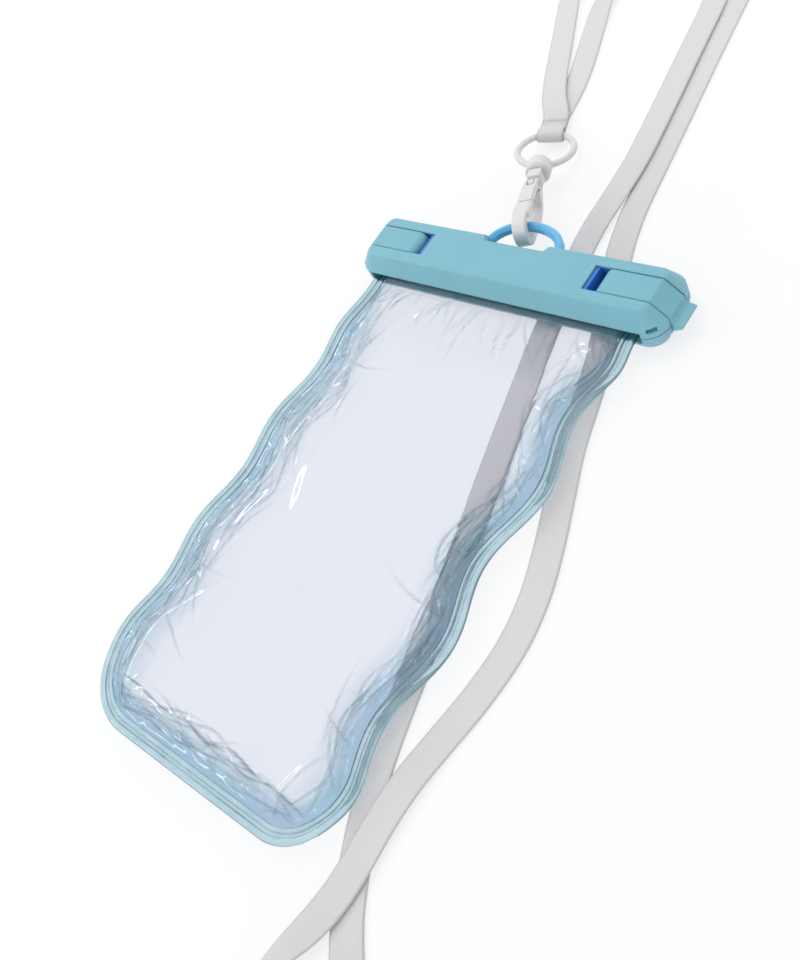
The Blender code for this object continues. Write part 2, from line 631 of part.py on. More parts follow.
def front_bar(mat):
    """The front bar is a shell over the inner frame: pockets for the frame, channels for the latches."""
    drop = FRONT_FACE_Z - FRONT_BEVEL_Z
    bar = bar_body(
        "front_bar",
        [
            (FRONT_BASE_Z, 0.0, 0.0),
            (FRONT_BEVEL_Z, 0.0, 0.0),
            (FRONT_FACE_Z - FACE_ROUNDING, END_BEVEL * (1 - FACE_ROUNDING / drop), SIDE_BEVEL * (1 - FACE_ROUNDING / drop)),
            (FRONT_FACE_Z - FACE_ROUNDING / 4, END_BEVEL + FACE_ROUNDING / 3, SIDE_BEVEL + FACE_ROUNDING / 3),
            (FRONT_FACE_Z, END_BEVEL + FACE_ROUNDING, SIDE_BEVEL + FACE_ROUNDING),
        ],
    )
    below = FRONT_BASE_Z - 0.001
    low_y = Y_BAR - BAR_WIDTH
    seat = box(
        "front_film_seat",
        (-MOUTH_HALF_WIDTH, low_y, below),
        (MOUTH_HALF_WIDTH, Y_MOUTH + FIT, FRONT_SEAT_Z),
    )
    plate_pocket = box(
        "plate_pocket",
        (-PLATE_HALF_LENGTH - FIT, Y_BAR - PLATE_HALF_WIDTH - FIT, FRONT_SEAT_Z - 0.001),
        (PLATE_HALF_LENGTH + FIT, Y_BAR + PLATE_HALF_WIDTH + FIT, PLATE_TOP_Z + FIT),
    )
    block_pocket = box(
        "block_pocket",
        (-BLOCK_HALF_LENGTH - FIT, Y_BAR - PLATE_HALF_WIDTH - FIT, FRONT_SEAT_Z - 0.001),
        (BLOCK_HALF_LENGTH + FIT, Y_BAR + BLOCK_BACK + FIT, BLOCK_TOP_Z + FIT),
    )
    cut(bar, seat, plate_pocket, block_pocket)
    for sx in (-1, 1):
        foot = box(
            f"arch_foot_slot_{sx}",
            (sx * ARCH_HALF_SPAN - ARCH_BAR / 2 - 2 * FIT, Y_BAR, ARCH_Z - ARCH_DEPTH / 2 - FIT),
            (sx * ARCH_HALF_SPAN + ARCH_BAR / 2 + 2 * FIT, Y_BAR + BAR_WIDTH, BLOCK_TOP_Z + FIT),
        )
        channel = prism(
            f"latch_channel_{sx}",
            mirrored(channel_outline(PLATE_TOP_Z), sx),
            Y_BAR - CHANNEL_HALF,
            Y_BAR + CHANNEL_HALF,
            "Y",
        )
        inner, outer = ear_span()
        ear_pocket = box(
            f"ear_pocket_{sx}",
            (min(sx * inner, sx * outer) - FIT, Y_BAR - ear_half() - FIT, FRONT_SEAT_Z - 0.001),
            (max(sx * inner, sx * outer) + FIT, Y_BAR + ear_half() + FIT, ear_top() + FIT),
        )
        cut(bar, foot, channel, ear_pocket)
        for sy in (-1, 1):
            centre = (sx * PEG_X, Y_BAR + sy * PEG_Y)
            peg = rod(f"peg_{sx}_{sy}", PEG_RADIUS, FRONT_BASE_Z - PEG_LENGTH, FRONT_BASE_Z + 0.0008, "Z", centre, 14)
            fuse(bar, peg)
        notch_x = BAR_HALF - BAR_CORNER * 0.42
        notch = box(
            f"pry_notch_{sx}",
            (-NOTCH_WIDTH / 2, -NOTCH_DEPTH, -NOTCH_HEIGHT / 2),
            (NOTCH_WIDTH / 2, NOTCH_DEPTH, NOTCH_HEIGHT / 2),
        )
        notch.location = (sx * notch_x, Y_BAR - BAR_HALF_WIDTH + BAR_CORNER * 0.30, FRONT_BEVEL_Z)
        notch.rotation_euler = (0.0, 0.0, sx * math.radians(38))
        cut(bar, notch)
    wall = BAR_HALF_WIDTH - MOUTH_DEPTH - FIT - SCOOP_WALL
    scoop = scoop_tool(
        "front_scoop",
        FRONT_SEAT_Z,
        FRONT_FACE_Z + 0.001,
        wall,
        wall + (SIDE_BEVEL + SCOOP_FACE_DEPTH - wall) * (FRONT_FACE_Z + 0.001 - FRONT_SEAT_Z) / (FRONT_FACE_Z - FRONT_SEAT_Z),
    )
    low_scoop = scoop_tool("front_scoop_low", below, FRONT_SEAT_Z + FIT, wall, wall)
    cut(bar, scoop, low_scoop)
    return finish(bar, mat)


def ear_span():
    """The latch cradle's reach along X, from its inner wall to past the pin."""
    return RECESS_X + FIT, LATCH_PIN_X + BARREL_RADIUS


def ear_half():
    return CHANNEL_HALF + FIT + EAR_THICKNESS


def ear_top():
    return LATCH_PIN_Z + LATCH_PIN_RADIUS + FIT + 0.0006


def arch_path(steps=20):
    """The arch's middle line: up from the block, over in half an ellipse, and down."""
    spring_y = Y_BAR + BAR_HALF_WIDTH - 0.0035
    rise = ARCH_CROWN_Y - spring_y
    root_y = Y_BAR + BLOCK_BACK - 0.003
    over = [
        (ARCH_HALF_SPAN * math.cos(t), spring_y + rise * math.sin(t)) for t in np.linspace(0, math.pi, steps + 1)
    ]
    return [(ARCH_HALF_SPAN, root_y), *over, (-ARCH_HALF_SPAN, root_y)]


def arch_bar(name):
    path = [Vector((x, y, 0.0)) for x, y in arch_path()]
    half_a = ARCH_BAR / 2
    half_z = ARCH_DEPTH / 2
    cutoff = 0.32 * ARCH_BAR
    section = [
        (half_a, -half_z + cutoff), (half_a, half_z - cutoff), (half_a - cutoff, half_z),
        (-half_a + cutoff, half_z), (-half_a, half_z - cutoff), (-half_a, -half_z + cutoff),
        (-half_a + cutoff, -half_z), (half_a - cutoff, -half_z),
    ]
    rings = []
    for i, point in enumerate(path):
        ahead = path[min(i + 1, len(path) - 1)] - path[max(i - 1, 0)]
        out = Vector((ahead.y, -ahead.x, 0.0)).normalized()
        rings.append([(point.x + out.x * a, point.y + out.y * a, ARCH_Z + b) for a, b in section])
    return loft(name, rings)


def inner_frame(mat):
    """The blue core: a plate on the front film, a block that roots the arch, and a cradle for each latch."""
    plate = prism(
        "inner_frame",
        rounded_rectangle(PLATE_HALF_LENGTH, PLATE_HALF_WIDTH, 0.002, Y_BAR, steps=3),
        FRONT_SEAT_Z,
        PLATE_TOP_Z,
    )
    block = box(
        "arch_block",
        (-BLOCK_HALF_LENGTH, Y_BAR - PLATE_HALF_WIDTH + 0.001, FRONT_SEAT_Z + 0.0002),
        (BLOCK_HALF_LENGTH, Y_BAR + BLOCK_BACK, BLOCK_TOP_Z),
    )
    fuse(plate, block, arch_bar("arch_loop"))
    inner, outer = ear_span()
    for sx in (-1, 1):
        low = min(sx * inner, sx * outer)
        high = max(sx * inner, sx * outer)
        cradle = box(
            f"latch_cradle_{sx}",
            (low, Y_BAR - ear_half(), FRONT_SEAT_Z + 0.0002),
            (high, Y_BAR + ear_half(), ear_top()),
        )
        wall_top = box(
            f"cradle_wall_{sx}",
            (min(sx * inner, sx * (inner + CRADLE_WALL)), Y_BAR - CHANNEL_HALF + FIT, FRONT_SEAT_Z + 0.0002),
            (max(sx * inner, sx * (inner + CRADLE_WALL)), Y_BAR + CHANNEL_HALF - FIT, FRONT_FACE_Z - 0.0006),
        )
        hollow_low = min(sx * (inner + CRADLE_WALL), sx * (outer + 0.001))
        hollow_high = max(sx * (inner + CRADLE_WALL), sx * (outer + 0.001))
        hollow = box(
            f"cradle_hollow_{sx}",
            (hollow_low, Y_BAR - CHANNEL_HALF - FIT, PLATE_TOP_Z),
            (hollow_high, Y_BAR + CHANNEL_HALF + FIT, FRONT_FACE_Z + 0.001),
        )
        reach = BARREL_RADIUS + FIT
        window = box(
            f"barrel_window_{sx}",
            (sx * LATCH_PIN_X - reach, Y_BAR - CHANNEL_HALF, FRONT_SEAT_Z - 0.001),
            (sx * LATCH_PIN_X + reach, Y_BAR + CHANNEL_HALF, PLATE_TOP_Z + 0.001),
        )
        bore = rod(
            f"ear_bore_{sx}",
            LATCH_PIN_RADIUS + FIT,
            Y_BAR - ear_half() - 0.001,
            Y_BAR + ear_half() + 0.001,
            "Y",
            (sx * LATCH_PIN_X, LATCH_PIN_Z),
        )
        fuse(plate, cradle, wall_top)
        cut(plate, hollow, window, bore)
    return finish(plate, mat)


def gasket(name, front, mat):
    """A seal strip: a flat base on the film, with ridges that meet the other strip's ridges."""
    if front:
        base_z = FRONT_FILM_CLAMP_Z - FILM_THICKNESS / 2 - FIT
        tip_z = FRONT_BASE_Z
        sign = -1
    else:
        base_z = REAR_FILM_CLAMP_Z + FILM_THICKNESS / 2 + FIT
        tip_z = REAR_TOP_Z
        sign = 1
    floor_z = base_z + sign * GASKET_BASE
    half = GASKET_WIDTH / 2
    outline = [(Y_BAR - half, base_z), (Y_BAR - half, floor_z)]
    pitch = GASKET_WIDTH / GASKET_RIDGES
    for i in range(GASKET_RIDGES):
        middle = Y_BAR - half + pitch * (i + 0.5)
        outline += [
            (middle - GASKET_RIDGE, floor_z), (middle - GASKET_RIDGE / 2, tip_z),
            (middle + GASKET_RIDGE / 2, tip_z), (middle + GASKET_RIDGE, floor_z),
        ]
    outline += [(Y_BAR + half, floor_z), (Y_BAR + half, base_z)]
    return finish(prism(name, outline, -GASKET_LENGTH / 2, GASKET_LENGTH / 2, "X"), mat)


def hook_frame(roll=0.0):
    """The hook's axes: X through its thickness, Y along it towards the ring, Z across its width."""
    along = Vector(
        (
            -math.sin(HOOK_TURN) * math.cos(HOOK_SLOPE),
            math.cos(HOOK_TURN) * math.cos(HOOK_SLOPE),
            -math.sin(HOOK_SLOPE),
        )
    )
    side = Vector((math.cos(HOOK_TURN), math.sin(HOOK_TURN), 0.0))
    up = side.cross(along)
    turned_side = side * math.cos(roll) + up * math.sin(roll)
    turned_up = up * math.cos(roll) - side * math.sin(roll)
    matrix = Matrix((turned_side, along, turned_up)).transposed().to_4x4()
    matrix.translation = Vector((HOOK_X, arch_y_at(HOOK_X), ARCH_Z)) - along * ARCH_IN_EYE_U - up * EYE_MIDDLE
    return matrix


def arch_y_at(x):
    spring_y = Y_BAR + BAR_HALF_WIDTH - 0.0035
    return spring_y + (ARCH_CROWN_Y - spring_y) * math.sqrt(1 - (x / ARCH_HALF_SPAN) ** 2)


def hook_outline():
    """The snap hook's side view in U and W: shank, spine, bend and nose round an open eye."""
    low = EYE_LOW - HOOK_SPINE
    outer = (SHANK_HALF_WIDTH - low) / 2
    eye_radius = EYE_WIDTH / 2
    bend_centre = (HOOK_BEND + eye_radius, EYE_MIDDLE)
    eye_end = HOOK_BEND + EYE_LENGTH
    gate_floor = GATE_PIVOT_W - GATE_BOSS - 2 * FIT
    shoulder = GATE_PIVOT_U + GATE_BOSS + 0.0010
    outline = [
        (HOOK_LENGTH, SHANK_HALF_WIDTH), (shoulder, SHANK_HALF_WIDTH), (shoulder, gate_floor),
        (eye_end + 0.0004, gate_floor), (eye_end, gate_floor - 0.0010), (eye_end - 0.0016, EYE_LOW + 0.0009),
        (eye_end - 0.0036, EYE_LOW),
    ]
    outline += arc(bend_centre, eye_radius, 270, 90, 12)
    outline += [(NOSE_TIP_U, EYE_HIGH), (NOSE_TIP_U, SHANK_HALF_WIDTH - 0.0009), (NOSE_TIP_U - 0.0009, SHANK_HALF_WIDTH)]
    outline += arc((outer, (SHANK_HALF_WIDTH + low) / 2), outer, 90, 270, 16)
    outline += [(eye_end - 0.0060, low), (eye_end - 0.0010, low + 0.0012), (eye_end + 0.0040, -SHANK_HALF_WIDTH - 0.0012)]
    outline += [(shoulder, -SHANK_HALF_WIDTH), (HOOK_LENGTH, -SHANK_HALF_WIDTH)]
    return outline


def turned(name, profile, sides=20):
    """Turns a profile of (radius, along) about the Y axis."""
    angles = np.linspace(0, 2 * math.pi, sides, endpoint=False)
    rings = [[(r * math.sin(a), along, r * math.cos(a)) for a in angles] for r, along in profile]
    return loft(name, rings)


def snap_hook(mat):
    half = SHANK_HALF_WIDTH
    hook = prism("snap_hook", hook_outline(), -HOOK_THICKNESS / 2, HOOK_THICKNESS / 2, "X")
    bevel(hook, 0.0004)
    nose_low = EYE_HIGH + 0.0002
    nose_start = HOOK_BEND + 0.0034
    nose = prism(
        "hook_nose",
        [(nose_start, nose_low), (NOSE_TIP_U - 0.0002, nose_low), (NOSE_TIP_U - 0.0002, half - 0.0007),
         (NOSE_TIP_U - 0.0009, half - 0.0002), (nose_start + 0.0015, half - 0.0002), (nose_start, half - 0.0012)],
        -NOSE_THICKNESS / 2,
        NOSE_THICKNESS / 2,
        "X",
    )
    bevel(nose, 0.0004)
    tongue_half = HOOK_THICKNESS / 2 - GATE_CHEEK - FIT
    boss = GATE_BOSS
    root = GATE_PIVOT_W - GATE_BOSS - 0.001
    tongue_outline = [(GATE_PIVOT_U + boss + 0.0016, root), (GATE_PIVOT_U + boss + 0.0016, GATE_PIVOT_W)]
    tongue_outline += arc((GATE_PIVOT_U, GATE_PIVOT_W), boss, 60, 180, 6)
    tongue_outline += [(GATE_PIVOT_U - boss, root)]
    tongue = prism("gate_tongue", tongue_outline, -tongue_half, tongue_half, "X")
    post_end = HOOK_LENGTH + COLLAR_LENGTH + 2 * FIT
    knob_end = post_end + KNOB_LENGTH
    post = turned(
        "hook_post",
        [
            (POST_RADIUS, HOOK_LENGTH - 0.002), (POST_RADIUS, post_end), (KNOB_RADIUS, post_end),
            (KNOB_RADIUS, post_end + 0.35 * KNOB_LENGTH), (0.86 * KNOB_RADIUS, post_end + 0.65 * KNOB_LENGTH),
            (0.60 * KNOB_RADIUS, post_end + 0.72 * KNOB_LENGTH), (0.52 * KNOB_RADIUS, knob_end - 0.0003),
            (0.38 * KNOB_RADIUS, knob_end),
        ],
    )
    bore = rod(
        "tongue_bore", GATE_PIN_RADIUS + FIT, -HOOK_THICKNESS, HOOK_THICKNESS, "X", (GATE_PIVOT_U, GATE_PIVOT_W), 14
    )
    fuse(hook, nose, tongue, post)
    cut(hook, bore)
    return finish(hook, mat)


def hook_gate(mat):
    """The gate: a leaf across the hook's mouth, forked at its root round the hook's tongue."""
    leaf_low = SHANK_HALF_WIDTH - GATE_THICKNESS
    leaf_high = SHANK_HALF_WIDTH
    tip = NOSE_TIP_U + FIT
    leaf_end = GATE_PIVOT_U - GATE_BOSS - 0.0007
    pivot = (GATE_PIVOT_U, GATE_PIVOT_W)
    outline = [(tip, leaf_low), (leaf_end - 0.002, leaf_low - 0.0004)]
    outline += arc(pivot, GATE_BOSS, 190, 360 + 62, 12)
    outline += [(leaf_end, leaf_high - 0.0002), (tip + 0.002, leaf_high), (tip, leaf_high - 0.0005)]
    gate = prism("hook_gate", outline, -HOOK_THICKNESS / 2, HOOK_THICKNESS / 2, "X")
    slot_half = HOOK_THICKNESS / 2 - GATE_CHEEK
    slot = box("gate_slot", (-slot_half, leaf_end, GATE_PIVOT_W - 0.01), (slot_half, GATE_PIVOT_U + 0.01, GATE_PIVOT_W + 0.01))
    bore = rod("gate_bore", GATE_PIN_RADIUS + FIT, -HOOK_THICKNESS, HOOK_THICKNESS, "X", pivot, 14)
    cut(gate, slot, bore)
    return finish(gate, mat)


def swivel_ring(mat):
    """The oval ring, with the collar that the hook's post turns in."""
    centre = RING_CENTRE_U
    rings = []
    for t in np.linspace(0, 2 * math.pi, 40, endpoint=False):
        point = Vector((RING_HALF_LENGTH * math.cos(t), centre + RING_HALF_WIDTH * math.sin(t), 0.0))
        out = Vector((RING_HALF_WIDTH * math.cos(t), RING_HALF_LENGTH * math.sin(t), 0.0)).normalized()
        ring = []
        for a in np.linspace(0, 2 * math.pi, 10, endpoint=False):
            ring.append(point + out * (RING_WIRE_RADIUS * math.cos(a)) + Vector((0, 0, RING_WIRE_RADIUS * math.sin(a))))
        rings.append(ring)
    ring = loft("swivel_ring", rings, closed=True)
    low = HOOK_LENGTH + FIT
    high = low + COLLAR_LENGTH
    edge = 0.0006
    collar = turned(
        "ring_collar",
        [(COLLAR_RADIUS - edge, low), (COLLAR_RADIUS, low + edge), (COLLAR_RADIUS, high - edge),
         (COLLAR_RADIUS - edge, high)],
    )
    bore = rod_along_y("collar_bore", POST_RADIUS + FIT, low - 0.002, high + 0.002)
    knob_room = rod_along_y("knob_room", KNOB_RADIUS + FIT, high, high + KNOB_LENGTH)
    fuse(ring, collar)
    cut(ring, bore, knob_room)
    return finish(ring, mat)


def rod_along_y(name, radius, start, end, sides=20):
    return turned(name, [(radius, start), (radius, end)], sides)


def ribbon_end_loop(mat):
    """The ribbon's sewn end: it passes round the ring's far side and is stitched to itself."""
    bar_y = RING_CENTRE_U + RING_HALF_WIDTH
    inner = RING_WIRE_RADIUS + FIT
    outer = inner + RIBBON_THICKNESS
    bow = RING_HALF_WIDTH * (1 - math.sqrt(1 - (RIBBON_WIDTH / 2 / RING_HALF_LENGTH) ** 2))
    tail_half = RIBBON_THICKNESS + FIT / 2
    close_y = bar_y + 0.0052
    tail_y = bar_y + RIBBON_TAIL
    hole = arc((bar_y - bow, 0.0), inner, 90, 270, 8) + [(bar_y, -inner), (bar_y + inner, -0.7 * inner)]
    hole += [(close_y, -0.00008), (close_y, 0.00008), (bar_y + inner, 0.7 * inner), (bar_y, inner)]
    outline = arc((bar_y - bow, 0.0), outer, 90, 270, 10)
    outline += [(bar_y, -outer), (bar_y + outer, -0.75 * outer), (close_y + 0.0012, -tail_half), (tail_y, -tail_half)]
    outline += [(tail_y, tail_half), (close_y + 0.0012, tail_half), (bar_y + outer, 0.75 * outer), (bar_y, outer)]
    half = RIBBON_WIDTH / 2
    loop = prism("ribbon_end_loop", outline, -half, half, "X")
    cut(loop, prism("ribbon_loop_hole", hole, -RIBBON_WIDTH, RIBBON_WIDTH, "X"))
    return finish(loop, mat)


def smooth_route(points, spacing):
    """A smooth curve through the route's own points, read at even spacing, with its heading in two more columns."""
    points = np.array(points, dtype=float)
    padded = np.vstack([2 * points[0] - points[1], points, 2 * points[-1] - points[-2]])
    fine = []
    for i in range(len(points) - 1):
        a, b, c, d = padded[i : i + 4]
        for t in np.linspace(0, 1, 12, endpoint=False):
            fine.append(
                0.5 * (2 * b + (c - a) * t + (2 * a - 5 * b + 4 * c - d) * t**2 + (3 * b - a - 3 * c + d) * t**3)
            )
    fine = np.array([*fine, points[-1]])
    gone = np.concatenate([[0], np.cumsum(np.linalg.norm(np.diff(fine[:, :2], axis=0), axis=1))])
    fine = np.column_stack([fine, np.gradient(fine[:, :2], axis=0)])
    stations = np.linspace(0, gone[-1], max(2, round(gone[-1] / spacing)) + 1)
    return np.column_stack([np.interp(stations, gone, fine[:, k]) for k in range(fine.shape[1])])


def ribbon_line():
    """The ribbon's middle line and its width directions, from the route: it stands on edge where it turns."""
    route = smooth_route([(x / 1000, y / 1000, z / 1000, math.radians(t)) for x, y, z, t in RIBBON_ROUTE_MM], RIBBON_STATION)
    tilt = route[:, 3]
    height = route[:, 2] + RIBBON_THICKNESS / 2 * np.cos(tilt) + RIBBON_WIDTH / 2 * np.abs(np.sin(tilt))
    line = np.column_stack([route[:, 0], route[:, 1], height])
    along = np.column_stack([route[:, 4:6], np.zeros(len(line))])
    along /= np.linalg.norm(along, axis=1)[:, None]
    right = np.column_stack([along[:, 1], -along[:, 0], np.zeros(len(line))])
    width = right * np.cos(tilt)[:, None] + np.array([0.0, 0.0, 1.0]) * np.sin(tilt)[:, None]
    return line, width, np.cross(width, along)


def neck_ribbon(mat):
    line, width, face = ribbon_line()
    half_w = RIBBON_WIDTH / 2
    half_t = RIBBON_THICKNESS / 2
    rings = []
    for p, w, f in zip(line, width, face):
        rings.append([p + w * a + f * b for a, b in ((half_w, half_t), (-half_w, half_t), (-half_w, -half_t), (half_w, -half_t))])
    return finish(loft("neck_ribbon", rings), mat, 60)


def axis_empty(name, matrix):
    empty = bpy.data.objects.new(name, None)
    bpy.context.scene.collection.objects.link(empty)
    empty.matrix_world = matrix
    return empty


def hang(children, empty):
    for child in children:
        child.parent = empty


def build():
    clear_scene()
    turquoise = material("turquoise_plastic", TURQUOISE, 0.42)
    latch_plastic = material("latch_plastic", TURQUOISE, 0.38)
    blue = material("blue_plastic", ARCH_BLUE, 0.35)
    white = material("white_plastic", OFF_WHITE, 0.40)
    steel = material("steel_pin", STEEL, 0.30, metallic=1.0)
    seal = material("clear_silicone", SEAL_CLEAR, 0.45, transmission=0.5)
    film_clear = material("clear_film", FILM_TINT, 0.08, transmission=0.9)
    rim_clear = material("blue_clear_rim", RIM_BLUE, 0.15, transmission=0.6)
    woven = material("woven_ribbon", RIBBON_GREY, 0.85)

    rear_bar(turquoise)
    front_bar(turquoise)
    inner_frame(blue)
    for side, word in ((-1, "left"), (1, "right")):
        latch(side, f"{word}_latch", latch_plastic)
        latch_pin(side, f"{word}_latch_pin", steel)
    gasket("front_gasket", True, seal)
    gasket("rear_gasket", False, seal)
    film("front_film", True, film_clear)
    film("rear_film", False, film_clear)
    pouch_rim(rim_clear)

    existing = set(bpy.data.objects)
    snap_hook(white)
    hook_gate(white)
    gate_pin = rod(
        "gate_pin", GATE_PIN_RADIUS, -HOOK_THICKNESS / 2, HOOK_THICKNESS / 2, "X", (GATE_PIVOT_U, GATE_PIVOT_W), 14
    )
    finish(gate_pin, steel)
    bpy.context.view_layer.update()
    hang(set(bpy.data.objects) - existing, axis_empty("hook_axis", hook_frame()))

    existing = set(bpy.data.objects)
    swivel_ring(white)
    ribbon_end_loop(woven)
    hang(set(bpy.data.objects) - existing, axis_empty("ring_axis", hook_frame(RING_ROLL)))
    neck_ribbon(woven)
    bpy.context.view_layer.update()


build()
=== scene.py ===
# %% [markdown]
# # Waterproof phone case
# The real thing is a clear soft pouch that keeps what it holds dry. Two plastic bars clamp its mouth shut,
# a hinged latch locks each end, and a swivel snap hook joins a blue arch on the clamp to a woven neck
# ribbon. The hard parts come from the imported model, which stays as it is. This lesson adds the soft parts
# as surfaces worked out with numpy, then the finishes. Lengths are in metres.

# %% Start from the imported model
import math

import bpy
import numpy as np
from mathutils import Matrix, Vector


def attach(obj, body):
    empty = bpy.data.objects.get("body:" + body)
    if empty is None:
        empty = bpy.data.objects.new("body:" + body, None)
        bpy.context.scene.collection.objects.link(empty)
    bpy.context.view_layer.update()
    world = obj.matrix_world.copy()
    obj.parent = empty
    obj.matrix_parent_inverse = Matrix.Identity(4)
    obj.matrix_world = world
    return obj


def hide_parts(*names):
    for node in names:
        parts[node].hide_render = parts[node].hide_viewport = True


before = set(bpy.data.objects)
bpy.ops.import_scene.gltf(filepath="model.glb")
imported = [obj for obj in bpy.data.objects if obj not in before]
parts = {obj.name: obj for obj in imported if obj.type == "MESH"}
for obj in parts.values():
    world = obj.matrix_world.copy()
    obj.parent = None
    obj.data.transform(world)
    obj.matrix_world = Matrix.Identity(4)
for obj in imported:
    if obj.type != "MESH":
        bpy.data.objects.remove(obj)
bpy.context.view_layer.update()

# %% [markdown]
# ## Camera
# The case lies flat, and the view looks down on it from beside its lower right corner, turned so that the
# clamp is at the upper right. Three directions and a place fix a camera completely. They were worked out
# from the clamp's and the pouch's straight edges, so they are written as numbers instead of being aimed by
# eye.

# %% Set the camera
CAMERA_PLACE = (0.21744, -0.08714, 0.25627)
CAMERA_RIGHT = (0.7317, 0.54075, -0.41498)
CAMERA_DOWN = (0.28825, -0.79716, -0.53052)
CAMERA_FORWARD = (-0.61768, 0.26856, -0.73915)
SENSOR_MM, LENS_MM = 36, 39.55
NEAREST, FARTHEST = 0.01, 20


def place_camera():
    """The camera's own axes, right, up and backwards, are the columns of the matrix that turns it."""
    data = bpy.data.cameras.new("camera")
    data.sensor_width, data.lens = SENSOR_MM, LENS_MM
    data.clip_start, data.clip_end = NEAREST, FARTHEST
    obj = bpy.data.objects.new("camera", data)
    bpy.context.scene.collection.objects.link(obj)
    axes = [CAMERA_RIGHT, [-a for a in CAMERA_DOWN], [-a for a in CAMERA_FORWARD]]
    obj.matrix_world = Matrix.Translation(CAMERA_PLACE) @ Matrix(axes).transposed().to_4x4()
    bpy.context.scene.camera = obj
    return obj


print("camera at", [round(a, 3) for a in place_camera().matrix_world.translation])

# %% [markdown]
# ## From arrays to meshes
# Every soft part here is a grid of points: rows along the part, columns round or across it. One helper
# turns such a grid into a closed tube, and another makes the mesh and gives it a UV map in millimetres.
# Working on whole arrays keeps the shape a formula that can be read, and takes a fraction of a second.

# %% Helpers for grids and meshes


def smooth(t):
    """0 below t = 0, 1 above t = 1, and 3t^2 - 2t^3 between."""
    t = np.clip(t, 0.0, 1.0)
    return t * t * (3.0 - 2.0 * t)


def tube(grid):
    """Faces of a closed tube through a grid of rows by points round, capped at both ends."""
    rows, around = grid.shape[:2]
    index = np.arange(rows * around).reshape(rows, around)
    here, there = index[:-1], index[1:]
    quads = np.stack([here, np.roll(here, -1, 1), np.roll(there, -1, 1), there], axis=-1).reshape(-1, 4)
    return quads.tolist() + [index[0][::-1].tolist(), index[-1].tolist()]


def signed_volume(points, faces):
    """Six times the volume, from faces fanned into triangles. It is negative when they point inwards."""
    total = 0.0
    for size in {len(f) for f in faces}:
        ring = points[np.array([f for f in faces if len(f) == size])]
        for k in range(1, size - 1):
            total += np.einsum("ij,ij->", ring[:, 0], np.cross(ring[:, k], ring[:, k + 1]))
    return total


def mesh_object(name, points, faces, uv=None):
    """A smooth mesh object at the origin, with its place in its points and its faces turned outwards."""
    points = np.asarray(points, dtype=float).reshape(-1, 3)
    if signed_volume(points, faces) < 0:
        faces = [list(f)[::-1] for f in faces]
    mesh = bpy.data.meshes.new(name)
    mesh.from_pydata(points.tolist(), [], faces)
    mesh.polygons.foreach_set("use_smooth", np.full(len(mesh.polygons), True))
    if uv is not None:
        corner = np.zeros(len(mesh.loops), dtype=np.int32)
        mesh.loops.foreach_get("vertex_index", corner)
        layer = mesh.uv_layers.new(name="cloth")
        layer.data.foreach_set("uv", np.asarray(uv, dtype=np.float32)[corner].ravel())
    mesh.update()
    obj = bpy.data.objects.new(name, mesh)
    bpy.context.scene.collection.objects.link(obj)
    return obj


def point_values(obj, name, values):
    """Stores one number per point, which a material can read by its name."""
    layer = obj.data.attributes.new(name, "FLOAT", "POINT")
    layer.data.foreach_set("value", np.asarray(values, dtype=np.float32).ravel())


# %% [markdown]
# ## Neck ribbon
# The ribbon is one long band of plain weave, 10 mm wide, with a slightly thicker woven edge along each
# side. It could be simulated, but a listed route follows the real lie exactly: flat on the table and
# under the case, and standing on its edge where it turns back. The route's points repeat the part's own,
# and a Catmull-Rom curve joins them. The band's rounded section is carried along that curve and tilts with
# it.

# %% Lay the ribbon
RIBBON_WIDTH = 0.010
RIBBON_THICKNESS = 0.0008
RIBBON_STEP = 0.0025  # between the stations at which the section is set down
CURVE_STEPS = 12  # points of the curve between two points of the route
# the band is thinner just inside each edge: where and how wide, in half widths, and by what share
DIP_PLACE, DIP_WIDTH, DIP_DEPTH = 0.84, 0.05, 0.22
